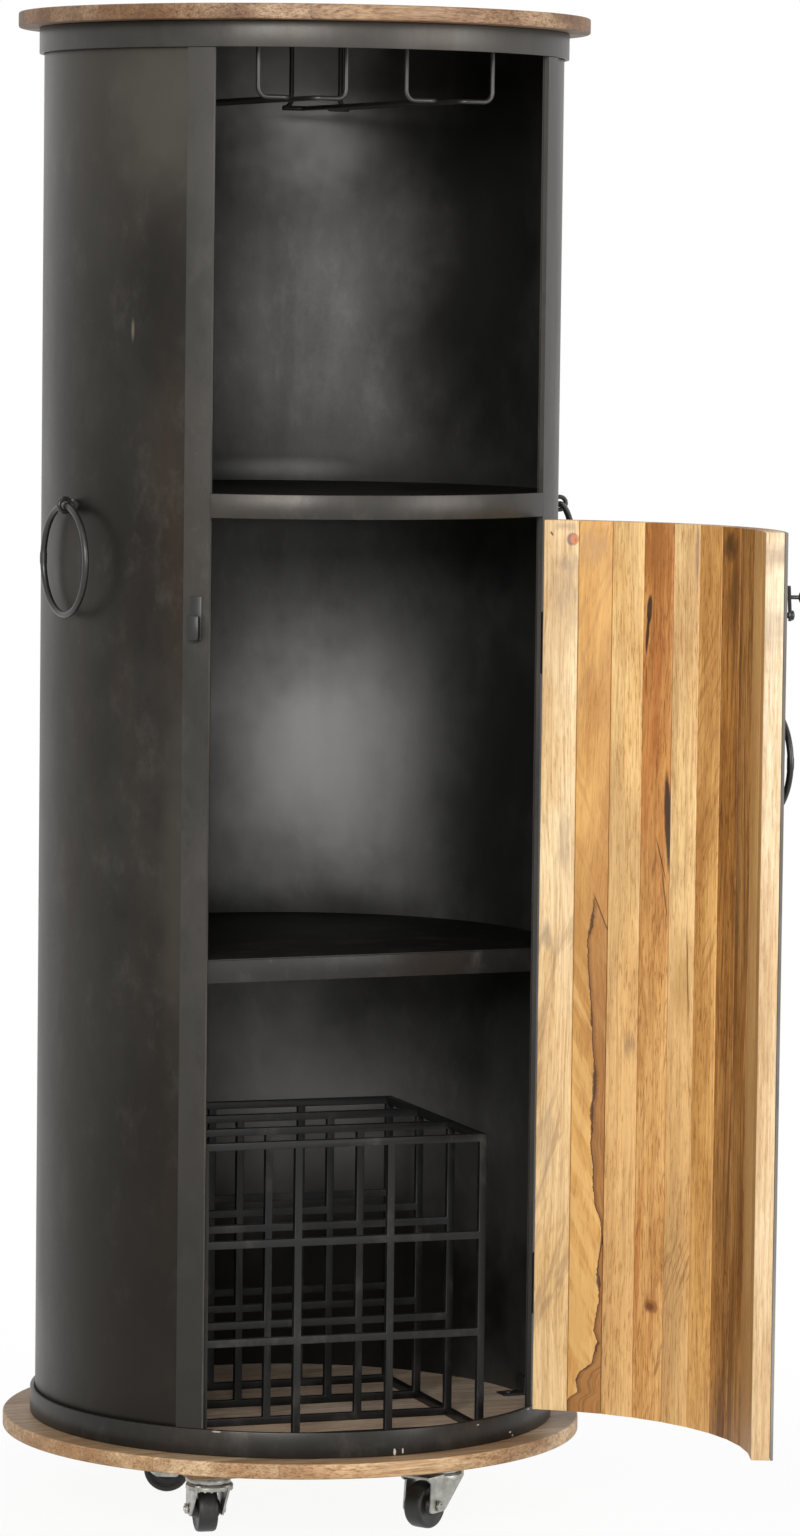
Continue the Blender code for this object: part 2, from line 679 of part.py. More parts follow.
def build_keeper(steel):
    """A plate on the left stile, bent out below into a pocket that is open at the top."""
    inner = SEAT_GAP + KEEPER_PLATE
    tongue = inner + KEEPER_POCKET
    outer = tongue + KEEPER_PLATE
    low = KEEPER_PLATE
    side = [
        (SEAT_GAP, 0),
        (outer - KEEPER_PLATE, 0),
        (outer, KEEPER_PLATE),
        (outer, KEEPER_TONGUE - KEEPER_PLATE),
        (outer - KEEPER_PLATE / 2, KEEPER_TONGUE),
        (tongue, KEEPER_TONGUE),
        (tongue, low),
        (inner, low),
        (inner, KEEPER_HEIGHT),
        (SEAT_GAP, KEEPER_HEIGHT),
    ]
    angle = facet_middle(-OPENING_HALF_ANGLE - KEEPER_INSET / BAND_OUTER)
    bm = bmesh.new()
    add_prism(bm, side, -KEEPER_WIDTH / 2, KEEPER_WIDTH / 2)
    # The outline's first axis points out of the stile, its second one up.
    frame = Matrix.Rotation(angle - math.pi / 2, 4, "Z") @ Matrix.Rotation(math.pi / 2, 4, "X")
    place = Matrix.Translation(polar(facet_apothem(BAND_OUTER), angle, LATCH_Z - KEEPER_DROP)) @ frame
    bm.transform(place)
    keeper = mesh_object("latch_keeper", bm, steel)
    # Seen from the front, its lower corners are round.
    half, corner = KEEPER_WIDTH / 2, KEEPER_CORNER
    front = [(half, KEEPER_HEIGHT), (-half, KEEPER_HEIGHT)]
    front += quarter((corner - half, corner), corner, 180) + quarter((half - corner, corner), corner, 270)
    bm = bmesh.new()
    add_prism(bm, front, 0, outer + KEEPER_PLATE)
    bm.transform(place @ Matrix.Rotation(math.pi / 2, 4, "Y"))
    boolean(keeper, mesh_object("keeper_front_guide", bm, steel), "INTERSECT")


# Casters


def build_casters(zinc, rubber):
    corners = {"front_left": -45, "front_right": 45, "back_left": -135, "back_right": 135}
    for name, corner in corners.items():
        place = polar(CASTER_RING_RADIUS, math.radians(corner) + CASTER_SQUARE_TURN)
        build_caster_plate(name, place, zinc)
        swivel = empty(name + "_swivel_axis", place, CASTER_HEADINGS[name])
        build_caster_fork(name, swivel, zinc)
        axle = empty(name + "_wheel_axis", (TRAIL, 0, WHEEL_RADIUS), parent=swivel)
        build_wheel(name, axle, zinc, rubber)


def build_caster_plate(name, place, zinc):
    """Top plate with the swivel race under it and the kingpin whose head carries the fork."""
    top = CASTER_HEIGHT
    race = top - CASTER_PLATE_THICKNESS - CASTER_RACE_HEIGHT
    under = race - SEAT_GAP - FORK_SHEET - SEAT_GAP
    profile = [
        (0, top - CASTER_PLATE_THICKNESS / 2),
        (CASTER_RACE_RADIUS * 0.8, top - CASTER_PLATE_THICKNESS / 2),
        (CASTER_RACE_RADIUS, race + CASTER_RACE_HEIGHT * 0.55),
        (CASTER_RACE_RADIUS, race),
        (KINGPIN_RADIUS, race),
        (KINGPIN_RADIUS, under),
        (KINGPIN_HEAD_RADIUS, under),
        (KINGPIN_HEAD_RADIUS * 0.7, under - KINGPIN_HEAD),
        (0, under - KINGPIN_HEAD),
    ]
    size = (CASTER_PLATE_SIDE, CASTER_PLATE_SIDE, CASTER_PLATE_THICKNESS)
    plate = box(name + "_caster_plate", (0, 0, top - CASTER_PLATE_THICKNESS / 2), size, zinc)
    plate.location = place
    plate.rotation_euler.z = CASTER_SQUARE_TURN
    guide = turned(name + "_race_guide", profile, 16, zinc, place=Matrix.Translation(place))
    boolean(plate, guide, "UNION")


def build_caster_fork(name, swivel, zinc):
    """A pressed fork: two side plates and a roof, under a round crown with a turned-down rim."""
    top = CASTER_HEIGHT - CASTER_PLATE_THICKNESS - CASTER_RACE_HEIGHT - SEAT_GAP
    roof = top - FORK_SHEET
    skirt = top - FORK_SKIRT
    foot = WHEEL_RADIUS - FORK_FOOT_DROP
    gap_half = HUB_WIDTH / 2 + FORK_SIDE_GAP
    half = gap_half + FORK_SHEET
    back, front, corner = TRAIL - FORK_FOOT_BACK, TRAIL + FORK_FOOT_FRONT, FORK_CORNER
    side = [(-FORK_BACK, top), (-FORK_BACK, skirt)]
    side += [(back - corner / 2, foot + corner), (back + corner, foot)]
    side += quarter((front - corner, foot + corner), corner, 270)
    side += [(TRAIL + FORK_NECK_FRONT, skirt), (TRAIL + FORK_TAB_FRONT - corner, skirt)]
    side += [(TRAIL + FORK_TAB_FRONT, skirt + corner), (TRAIL + FORK_TAB_FRONT, top)]
    bm = bmesh.new()
    add_prism(bm, side, -half, half)
    bm.transform(Matrix.Rotation(math.pi / 2, 4, "X"))
    fork = mesh_object(name + "_fork", bm, zinc, swivel)
    length = FORK_BACK + TRAIL + FORK_TAB_FRONT
    slot = box(name + "_slot_guide", (TRAIL / 2, 0, roof / 2), (2 * length, 2 * gap_half, roof), zinc, swivel)
    boolean(fork, slot, "DIFFERENCE")
    pin = KINGPIN_RADIUS + SEAT_GAP
    inner = CROWN_RADIUS - FORK_SHEET
    crown = [
        (pin + FORK_SHEET, top),
        (CROWN_RADIUS - CROWN_ROUND, top),
        (CROWN_RADIUS, top - CROWN_ROUND),
        (CROWN_RADIUS, skirt),
        (inner, skirt),
        (inner, roof),
        (pin + FORK_SHEET, roof),
    ]
    boolean(fork, turned(name + "_crown_guide", crown, 16, zinc, swivel, True), "UNION")
    king = [(0, top + pin), (pin, top + pin), (pin, roof - pin), (0, roof - pin)]
    boolean(fork, turned(name + "_king_guide", king, 12, zinc, swivel), "DIFFERENCE")
    hole = AXLE_RADIUS + SEAT_GAP
    reach = half + hole
    across = Matrix.Translation((TRAIL, 0, WHEEL_RADIUS)) @ Matrix.Rotation(math.pi / 2, 4, "X")
    bore = [(0, reach), (hole, reach), (hole, -reach), (0, -reach)]
    boolean(fork, turned(name + "_axle_guide", bore, 12, zinc, swivel, place=across), "DIFFERENCE")


def build_wheel(name, axis, zinc, rubber):
    lay = Matrix.Rotation(math.pi / 2, 4, "X")
    bore = AXLE_RADIUS + SEAT_GAP
    half, hub = WHEEL_WIDTH / 2, HUB_WIDTH / 2
    one_side = [
        (bore, hub),
        (HUB_RADIUS, hub),
        (HUB_RADIUS + WHEEL_CHAMFER, half),
        (WHEEL_RADIUS - WHEEL_CHAMFER, half),
        (WHEEL_RADIUS, half - WHEEL_CHAMFER),
    ]
    profile = one_side + [(r, -y) for r, y in one_side[::-1]]
    turned(name + "_wheel", profile, WHEEL_STEPS, rubber, axis, True, lay)
    face = hub + FORK_SIDE_GAP + FORK_SHEET + SEAT_GAP
    place = Matrix.Translation((TRAIL, 0, WHEEL_RADIUS)) @ lay
    bolt_end, nut_end = face + AXLE_HEAD / 2, -face - AXLE_HEAD - AXLE_END
    shank = [(0, bolt_end), (AXLE_RADIUS, bolt_end), (AXLE_RADIUS, nut_end), (0, nut_end)]
    bolt = turned(name + "_axle", shank, 12, zinc, axis.parent, place=place)
    # A hexagon head on one side and a nut on the other.
    for part, low in (("head", face), ("nut", -face - AXLE_HEAD)):
        hexagon = [(0, low), (AXLE_HEAD_RADIUS, low), (AXLE_HEAD_RADIUS, low + AXLE_HEAD), (0, low + AXLE_HEAD)]
        boolean(bolt, turned("%s_%s_guide" % (name, part), hexagon, 6, zinc, axis.parent, place=place), "UNION")


def main():
    clear_scene()
    sheet = material("gunmetal_sheet", (0.030, 0.027, 0.023), 0.42, 0.85)
    bar = material("gunmetal_bar", (0.032, 0.029, 0.025), 0.40, 0.85)
    mango = material("mango_wood", (0.40, 0.24, 0.11), 0.55, 0.0)
    pale = material("pale_mango_stave", (0.62, 0.42, 0.20), 0.5, 0.0)
    golden = material("golden_mango_stave", (0.50, 0.29, 0.11), 0.5, 0.0)
    brown = material("brown_mango_stave", (0.26, 0.12, 0.04), 0.5, 0.0)
    zinc = material("zinc_plate", (0.42, 0.42, 0.39), 0.40, 0.9)
    rubber = material("black_wheel", (0.018, 0.017, 0.017), 0.6, 0.0)
    build_boards(mango)
    build_shell(sheet)
    build_frame(bar)
    build_shelves(sheet)
    build_glass_rails(bar)
    build_bottle_rack(bar)
    eye_height = SHELL_Z + HANDLE_RISE
    build_ring_handle("left", -HANDLE_ANGLE, SHELL_RADIUS, eye_height, bar, ring_turn=LEFT_RING_TURN)
    build_ring_handle("right", HANDLE_ANGLE, SHELL_RADIUS, eye_height, bar)
    build_door(sheet, bar, [pale, golden, pale, brown, pale, golden, brown])
    build_keeper(bar)
    build_casters(zinc, rubber)


main()
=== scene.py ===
import json
import math

import bpy
from mathutils import Matrix, Vector


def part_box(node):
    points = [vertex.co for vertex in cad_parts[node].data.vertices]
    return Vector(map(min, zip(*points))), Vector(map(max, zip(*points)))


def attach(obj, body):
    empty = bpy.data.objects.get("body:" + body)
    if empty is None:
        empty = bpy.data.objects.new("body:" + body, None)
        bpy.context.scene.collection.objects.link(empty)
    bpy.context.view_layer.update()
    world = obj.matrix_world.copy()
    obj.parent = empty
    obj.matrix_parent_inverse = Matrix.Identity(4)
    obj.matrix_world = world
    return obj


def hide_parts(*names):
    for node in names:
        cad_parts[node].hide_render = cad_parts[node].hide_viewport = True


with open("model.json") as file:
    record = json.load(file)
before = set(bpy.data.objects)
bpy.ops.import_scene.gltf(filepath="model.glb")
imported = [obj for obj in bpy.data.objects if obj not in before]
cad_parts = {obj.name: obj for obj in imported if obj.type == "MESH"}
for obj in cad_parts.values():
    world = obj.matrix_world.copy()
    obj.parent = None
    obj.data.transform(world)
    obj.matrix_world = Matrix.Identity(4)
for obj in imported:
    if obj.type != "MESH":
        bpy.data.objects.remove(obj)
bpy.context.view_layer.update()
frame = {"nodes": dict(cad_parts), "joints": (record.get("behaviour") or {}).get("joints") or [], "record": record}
nodes = frame["nodes"]
joints = {j["name"]: j for j in frame["joints"]}
print("frame loaded:", len(nodes), "nodes")


# small helpers for working in object and edit mode


def deselect():
    if bpy.context.mode != "OBJECT":
        bpy.ops.object.mode_set(mode="OBJECT")
    bpy.ops.object.select_all(action="DESELECT")


def focus(obj):
    deselect()
    obj.select_set(True)
    bpy.context.view_layer.objects.active = obj
    return obj


def pick(obj, kind, test):  # leaves obj in edit mode with the parts selected that pass the test
    focus(obj)
    bpy.ops.object.mode_set(mode="EDIT")
    bpy.ops.mesh.select_mode(type=kind)
    bpy.ops.mesh.select_all(action="DESELECT")
    bpy.ops.object.mode_set(mode="OBJECT")
    mesh = obj.data
    if kind == "EDGE":
        for edge in mesh.edges:
            edge.select = test(*(mesh.vertices[v].co for v in edge.vertices))
    elif kind == "FACE":
        for face in mesh.polygons:
            face.select = test(face.center, face.normal)
    else:
        for vertex in mesh.vertices:
            vertex.select = test(vertex.co)
    bpy.ops.object.mode_set(mode="EDIT")


def pickAll(obj, kind="FACE"):
    focus(obj)
    bpy.ops.object.mode_set(mode="EDIT")
    bpy.ops.mesh.select_mode(type=kind)
    bpy.ops.mesh.select_all(action="SELECT")


def applyPlace(obj):
    focus(obj)
    bpy.ops.object.transform_apply(location=True, rotation=True, scale=True)
    return obj


def tidyMesh(obj, merge=1e-6):
    pickAll(obj)
    bpy.ops.mesh.remove_doubles(threshold=merge)
    bpy.ops.mesh.normals_make_consistent(inside=False)
    deselect()
    return obj


def softenEdges(obj, width, angle=35):
    focus(obj)
    bevel = obj.modifiers.new("soften", "BEVEL")
    bevel.width = width
    bevel.segments = 2
    bevel.limit_method = "ANGLE"
    bevel.angle_limit = math.radians(angle)
    bevel.use_clamp_overlap = True
    bpy.ops.object.modifier_apply(modifier=bevel.name)
    return obj


def joinPieces(first, *others):
    focus(first)
    for other in others:
        other.select_set(True)
    bpy.ops.object.join()
    return first


def duplicate(obj):  # a copy with its own mesh
    copy = obj.copy()
    copy.data = obj.data.copy()
    bpy.context.scene.collection.objects.link(copy)
    return copy


def discard(obj):
    bpy.data.objects.remove(obj, do_unlink=True)


def block(size, location, turn=0.0):  # a plain box to start from
    bpy.ops.mesh.primitive_cube_add(size=1, location=location, rotation=(0, 0, turn))
    obj = bpy.context.object
    obj.scale = size
    return applyPlace(obj)


def place(obj, matrix):
    obj.matrix_world = matrix @ obj.matrix_world
    return applyPlace(obj)


def finishPiece(obj, name, body, finish, stands=(), angle=32):
    focus(obj)
    obj.name = name
    obj.data.name = name
    bpy.ops.object.shade_smooth_by_angle(angle=math.radians(angle))
    obj.data.materials.clear()
    obj.data.materials.append(finish)
    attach(obj, body)
    if stands:
        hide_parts(*stands)
    return obj


def paintFaces(obj, finish, test):  # one more finish, on the faces that pass the test
    obj.data.materials.append(finish)
    for face in obj.data.polygons:
        if test(face.center, face.normal):
            face.material_index = len(obj.data.materials) - 1


def facesUp(centre, normal):
    return normal.z > 0.9


def cutEdge(axis):  # finds the faces of a rolled bar that face neither its axis nor away
    return lambda centre, normal: abs(normal.xy.dot((centre - axis).xy.normalized())) < 0.6


def cadCopy(node, soft, flat=1.0, angle=35):  # a merged copy of a CAD node with softened edges
    mesh = nodes[node].data.copy()
    obj = bpy.data.objects.new(node + "_dressed", mesh)
    bpy.context.scene.collection.objects.link(obj)
    pickAll(obj)
    bpy.ops.mesh.remove_doubles(threshold=2e-6)
    bpy.ops.mesh.dissolve_limited(angle_limit=math.radians(flat))
    deselect()
    return softenEdges(obj, soft, angle)


def bodyOf(node):
    for body, members in frame["record"]["behaviour"]["bodies"].items():
        if node in members:
            return body


def polar(radius, angle, height=0.0):  # angle from the front, positive to the hinge side
    return Vector((radius * math.sin(angle), -radius * math.cos(angle), height))


def spunStrip(inner, outer, low, high, start, end, soft, steps):  # a bar or sheet rolled round the axis
    bpy.ops.mesh.primitive_plane_add(
        size=1, location=(0, -(inner + outer) / 2, (low + high) / 2), rotation=(0, math.pi / 2, 0)
    )
    obj = bpy.context.object
    obj.scale = (high - low, outer - inner, 1)
    applyPlace(obj)
    pickAll(obj, "VERT")
    bpy.ops.mesh.bevel(offset=soft, segments=2, affect="VERTICES")
    deselect()
    obj.rotation_euler.z = start
    applyPlace(obj)
    whole = abs(end - start) > math.tau - 1e-6
    pickAll(obj, "FACE")
    if whole:
        bpy.ops.mesh.delete(type="ONLY_FACE")
        bpy.ops.mesh.select_all(action="SELECT")
    bpy.ops.mesh.spin(steps=steps, angle=start - end, center=(0, 0, 0), axis=(0, 0, 1))
    return tidyMesh(obj)


def spunProfile(points, steps):  # a turned piece from the (radius, height) points of its edge
    bpy.ops.mesh.primitive_circle_add(vertices=len(points), radius=1, fill_type="NOTHING", location=(0, 0, 0))
    obj = bpy.context.object
    for vertex, (radius, height) in zip(obj.data.vertices, points):
        vertex.co = (radius, 0, height)
    pickAll(obj, "EDGE")
    bpy.ops.mesh.spin(steps=steps, angle=math.tau, center=(0, 0, 0), axis=(0, 0, 1))
    return tidyMesh(obj, 1e-5)


# shader maths: a wrapped socket that takes Python's operators


class Wire:
    def __init__(self, paint, socket):
        self.paint = paint
        self.socket = socket

    def calc(self, operation, other=0.0, swap=False):
        pair = (other, self) if swap else (self, other)
        return self.paint.node("Math", {"operation": operation}, {0: pair[0], 1: pair[1]})

    def __add__(self, other):
        return self.calc("ADD", other)

    __radd__ = __add__

    def __sub__(self, other):
        return self.calc("SUBTRACT", other)

    def __rsub__(self, other):
        return self.calc("SUBTRACT", other, True)

    def __mul__(self, other):
        return self.calc("MULTIPLY", other)

    __rmul__ = __mul__

    def __truediv__(self, other):
        return self.calc("DIVIDE", other)

    def __abs__(self):
        return self.calc("ABSOLUTE")


class Paint:
    def __init__(self, name, settings):
        self.material = bpy.data.materials.new(name)
        self.material.use_nodes = True
        self.tree = self.material.node_tree
        self.shader = self.tree.nodes["Principled BSDF"]
        for key, value in settings.items():
            self.shader.inputs[key].default_value = value

    def feed(self, socket, value):
        if isinstance(value, Wire):
            self.tree.links.new(value.socket, socket)
        else:
            socket.default_value = value

    def node(self, kind, settings=None, inputs=None, output=0):
        made = self.tree.nodes.new("ShaderNode" + kind)
        for key, value in (settings or {}).items():
            if key == "stops":
                ramp = made.color_ramp
                while len(ramp.elements) < len(value):
                    ramp.elements.new(0.5)
                for element, (place, colour) in zip(ramp.elements, value):
                    element.position = place
                    element.color = (*colour, 1)
            else:
                setattr(made, key, value)
        for key, value in (inputs or {}).items():
            self.feed(made.inputs[key], value)
        return Wire(self, made.outputs[output])

    def place(self, centre=(0, 0, 0), turn=(0, 0, 0)):  # object coordinates seen from a piece's own middle
        coords = self.node("TexCoord", output="Object")
        return self.node(
            "Mapping", {"vector_type": "TEXTURE"}, {"Vector": coords, "Location": centre, "Rotation": turn}
        )

    def stretch(self, vector, scale):
        return self.node("Mapping", {"vector_type": "POINT"}, {"Vector": vector, "Scale": scale})

    def noise(self, vector, scale, detail=3.0, rough=0.55, warp=0.0):
        return self.node(
            "TexNoise",
            None,
            {"Vector": vector, "Scale": scale, "Detail": detail, "Roughness": rough, "Distortion": warp},
        )

    def band(self, value, low, high, start=0.0, end=1.0):  # smooth step of a value between two levels
        return self.node(
            "MapRange",
            {"interpolation_type": "SMOOTHSTEP"},
            {"Value": value, "From Min": low, "From Max": high, "To Min": start, "To Max": end},
        )

    def mix(self, factor, first, second, blend="MIX"):
        colours = [value if isinstance(value, Wire) else (*value, 1) for value in (first, second)]
        return self.node(
            "Mix", {"data_type": "RGBA", "blend_type": blend}, {0: factor, 6: colours[0], 7: colours[1]}, 2
        )

    def axes(self, vector):
        return [self.node("SeparateXYZ", None, {0: vector}, k) for k in range(3)]

    def vector(self, x, y, z):
        return self.node("CombineXYZ", None, {0: x, 1: y, 2: z})

    def length(self, vector):
        return self.node("VectorMath", {"operation": "LENGTH"}, {0: vector}, "Value")

    def bump(self, height, strength, distance):
        return self.node("Bump", None, {"Height": height, "Strength": strength, "Distance": distance})

    def give(self, **sockets):
        for key, value in sockets.items():
            self.feed(self.shader.inputs[key.replace("_", " ")], value)
        return self.material


def srgb(*colour):  # a colour as picked on screen, made linear
    return tuple(c / 255 / 12.92 if c < 10.3 else ((c / 255 + 0.055) / 1.055) ** 2.4 for c in colour)


# finishes


def patch(at, size, tone, amount, **more):  # one worn, stained, paler or darker place in a finish, or a place of painted light or shade
    return dict(more, at=at, size=size, tone=tone, amount=amount)


gunmetalLook = {
    "dark": (35, 32, 28), "mid": (51, 48, 43), "rust": (56, 45, 34), "speck": (92, 86, 78),
    "bloom": (86, 82, 76), "shadow": (18, 17, 16), "mottle": 0.3, "crownReach": (1.2, 1.6),
    "footReach": (0.8, 0.1), "rough": 0.43, "metal": 0.7, "gloss": 0.35, "seed": 0.0,
}


def gunmetalPaint(name, base, **change):
    look = dict(base, **change)
    paint = Paint(name, {"Metallic": look["metal"], "Specular IOR Level": look["gloss"]})
    seed = look["seed"]
    spot = paint.place((seed, seed * 0.7, seed * 1.3))
    cloud = paint.noise(spot, 2.6, 4, 0.58, 0.5)
    drips = paint.noise(paint.stretch(spot, (9, 9, 1.6)), 1.0, 5, 0.62, 0.4)
    grit = paint.noise(spot, 380, 2, 0.6)
    speck = paint.band(paint.noise(spot, 110, 3, 0.7), 0.67, 0.74)
    tone = paint.mix(paint.band(cloud, 0.34, 0.66), srgb(*look["dark"]), srgb(*look["mid"]))
    tone = paint.mix(paint.band(drips, 0.48, 0.72) * 0.55, tone, srgb(*look["rust"]))
    tone = paint.mix(speck * 0.2, tone, srgb(*look["speck"]))
    mottle = paint.noise(paint.stretch(spot, (1, 1, 0.6)), 24, 6, 0.7)
    tone = paint.mix(paint.band(mottle, 0.5, 0.72) * look["mottle"], tone, srgb(*look["bloom"]))
    tone = paint.mix(paint.band(mottle, 0.5, 0.28) * look["mottle"], tone, srgb(*look["shadow"]))
    if "crown" in look:  # paler towards the top, darker at the foot
        height = paint.axes(paint.place())[2]
        tone = paint.mix(paint.band(height, *look["crownReach"]) * 0.6, tone, srgb(*look["crown"]))
        tone = paint.mix(paint.band(height, *look["footReach"]) * 0.75, tone, srgb(*look["foot"]))
    # worn, stained and paler places, and places of painted light and shade such as those on the inside wall
    for wearOrLight in look.get("patches", ()):
        near = paint.node(
            "Mapping", {"vector_type": "TEXTURE"},
            {"Vector": paint.place(), "Location": wearOrLight["at"], "Scale": wearOrLight["size"]},
        )
        fray = (paint.noise(spot, wearOrLight.get("grain", 14), 3, 0.6) - 0.5) * wearOrLight.get("fray", 0.9)
        cover = paint.band(paint.length(near) + fray, 1.0, wearOrLight.get("core", 0.2)) * wearOrLight["amount"]
        tone = paint.mix(cover, tone, srgb(*wearOrLight["tone"]))
    rough = look["rough"] + (cloud - 0.5) * 0.25 + (drips - 0.5) * 0.18 + (grit - 0.5) * 0.08
    normal = paint.bump(grit * 0.4 + cloud * 1.2, 0.10, 0.0012)
    return paint.give(Base_Color=tone, Roughness=rough, Normal=normal)


def mangoGrain(paint, across, depth, along, look):  # masks of wood whose grain runs along the third axis
    seed = look["seed"]
    bend = paint.noise(paint.vector(across * 7.0 + seed, depth * 7.0, along * 2.4 + seed), 1.0, 2, 0.5)
    side = across + (bend - 0.5) * look["wander"] + along * look["lean"]
    grain = paint.vector(side + seed, depth, along)
    cloud = paint.noise(paint.vector(side * 24.0 + seed, depth * 24.0, along * 5.5 + seed), 1.0, 4, 0.6)
    haze = paint.noise(paint.vector(side * 13.0 + seed, depth * 13.0, along * 2.6 + seed * 3.0), 1.0, 3, 0.6)
    fibre = paint.noise(paint.stretch(grain, (240, 240, 5)), 1.0, 4, 0.7)
    hair = paint.noise(paint.stretch(grain, (520, 520, 14)), 1.0, 3, 0.7)
    fleck = paint.noise(paint.stretch(grain, (620, 620, 62)), 1.0, 3, 0.6)
    dash = paint.noise(paint.stretch(grain, (560, 560, 52)), 1.0, 1, 0.5)
    return {
        "cloud": cloud, "haze": haze, "fibre": fibre, "hair": hair, "dash": paint.band(dash, 0.66, 0.74),
        "fleck": paint.band(fleck, 0.51, 0.66) * paint.band(cloud, 0.30, 0.62, 0.35, 1.0),
    }


def mangoTone(paint, grain, look, base):  # lays fibre, clouds and pores over a ground tone
    tone = paint.mix(paint.band(grain["cloud"], 0.42, 0.62) * look["patchy"], base, srgb(*look["heart"]))
    tone = paint.mix(paint.band(grain["haze"], 0.47, 0.62) * look["patchy"] * 0.6, tone, srgb(*look["dark"]))
    tone = paint.mix(paint.band(grain["fibre"], 0.42, 0.68) * look["stripe"], tone, srgb(*look["dark"]))
    hair = paint.band(grain["hair"], 0.46, 0.66) * look["stripe"]
    tone = paint.mix(hair, tone, (0.55, 0.44, 0.32), "MULTIPLY")
    tone = paint.mix(grain["fleck"] * look["pores"], tone, (0.55, 0.42, 0.28), "MULTIPLY")
    tone = paint.mix(grain["dash"] * look["pores"] * 0.6, tone, (0.40, 0.30, 0.20), "MULTIPLY")
    gain = look.get("gain", 1.0)
    return paint.mix(1.0, tone, (gain, gain, gain), "MULTIPLY")


def blot(paint, tone, across, along, mark):  # a knot, stain or bark pocket at one place of a stave
    lean = (along - mark["at"][1]) * mark.get("lean", 0.0)
    offset = paint.vector(
        (across - mark["at"][0] - lean) / mark["size"][0], 0.0, (along - mark["at"][1]) / mark["size"][1]
    )
    wide, tall = mark.get("grain", (160.0, 55.0))
    fray = paint.noise(paint.vector(across * wide, 0.0, along * tall), 1.0, 4, 0.65)
    far = paint.length(offset) + (fray - 0.5) * mark.get("fray", 0.8)
    cover = paint.band(far, 1.0, 1.0 - mark.get("soft", 0.5)) * mark["amount"]
    return paint.mix(cover, tone, srgb(*mark["tone"]))


def barkLine(paint, tone, across, along, bark):  # the lobed dark line between sapwood and heartwood
    tall = bark["high"] - bark["low"]
    height = (along - bark["low"]) / tall
    stops = [((z - bark["low"]) / tall, (0.5 + x * 0.001 / bark["span"],) * 3) for z, x in bark["path"]]
    course = paint.node("ValToRGB", {"stops": stops}, {0: height})
    lobes = paint.noise(paint.vector(along * 34.0 + 3.0, across * 14.0, 0.0), 1.0, 2, 0.5)
    teeth = paint.noise(paint.vector(along * 210.0, across * 60.0, 0.0), 1.0, 2, 0.6)
    edge = across - (course - 0.5) * bark["span"] - (lobes - 0.5) * 0.004 - (teeth - 0.5) * 0.003
    brow = across + 0.0044 + (bark["high"] - along) * 0.42  # the short line down to the right from the apex
    heart = paint.band(edge, 0.0006, -0.0006) * paint.band(brow, -0.0006, 0.0006)
    heart = heart * paint.band(height, 1.0, 0.985)
    ink = paint.noise(paint.vector(along * 30.0, across * 40.0, 4.0), 1.0, 3, 0.6)
    wide = 0.0009 + paint.band(ink, 0.5, 0.66) * 0.0026
    line = paint.band(abs(edge) / wide, 1.0, 0.3)
    line = line.calc("MAXIMUM", paint.band(abs(brow), 0.0011, 0.0003)) * paint.band(height, 1.01, 0.99)
    rings = paint.noise(paint.vector(edge * 420.0, 0.0, along * 9.0), 1.0, 4, 0.7)
    core = paint.mix(paint.band(rings, 0.38, 0.64), srgb(*bark["heart"]), srgb(*bark["rim"]))
    tone = paint.mix(heart * (paint.band(height, 1.0, 0.55) * 0.5 + 0.36), tone, core)  # paler at the apex
    tone = paint.mix(heart * paint.band(edge, -0.0055, -0.0006) * 0.55, tone, srgb(*bark["rim"]))
    return paint.mix(line * 0.88, tone, srgb(*bark["ink"]))


staveBase = {
    "wander": 0.028, "lean": 0.0, "patchy": 0.9, "stripe": 0.5, "pores": 0.7, "gain": 1.14, "fade": 0.0,
    "turns": 0.6, "turnHalf": 0.15, "veinEnd": 0.05, "seam": (0.0178, 0.0188),
}


def vein(lean, scale, start, amount, tone, zone=(0.0, 2.0)):  # streaks of another tone between two heights
    return {"lean": lean, "scale": scale, "start": start, "amount": amount, "tone": tone, "zone": zone}


def staveFinish(name, centre, turn, look):
    paint = Paint(name, {"Specular IOR Level": 0.35})
    across, depth, along = paint.axes(paint.place(centre, (0, 0, turn)))
    grain = mangoGrain(paint, across, depth, along, look)
    tone = mangoTone(paint, grain, look, srgb(*look["light"]))
    if look["fade"]:  # the ground changes down the stave
        drift = paint.noise(paint.vector(0.0, 0.0, along * 4.0 + look["seed"]), 1.0, 2, 0.5)
        level = along + (drift - 0.5) * 0.3
        lower = paint.band(level, look["turns"] + look["turnHalf"], look["turns"] - look["turnHalf"])
        under = dict(look, **look["low"])
        tone = paint.mix(lower * look["fade"], tone, mangoTone(paint, grain, under, srgb(*under["light"])))
    end = look["veinEnd"]
    for streak in look.get("veins", ()):
        slope = paint.vector(across + along * streak["lean"], depth, along)
        lines = paint.noise(paint.stretch(slope, streak["scale"]), 1.0, 3, 0.6, 0.4)
        low, high = streak["zone"]
        shown = paint.band(along, low - end, low + end) * paint.band(along, high + end, high - end)
        cover = paint.band(lines, streak["start"], streak["start"] + 0.1) * (shown * streak["amount"])
        tone = paint.mix(cover, tone, srgb(*streak["tone"]))
    if "bark" in look:
        tone = barkLine(paint, tone, across, along, look["bark"])
    for mark in look.get("marks", ()):
        tone = blot(paint, tone, across, along, mark)
    seam = paint.band(abs(across), *look["seam"])
    tone = paint.mix(seam * 0.3, tone, (0.42, 0.32, 0.24), "MULTIPLY")
    rough = 0.50 + (grain["fibre"] - 0.5) * 0.2 + grain["fleck"] * 0.08
    relief = grain["fibre"] * 0.5 - grain["fleck"] * 0.5 - grain["dash"] * 0.9
    return paint.give(Base_Color=tone, Roughness=rough, Normal=paint.bump(relief, 0.25, 0.0007))


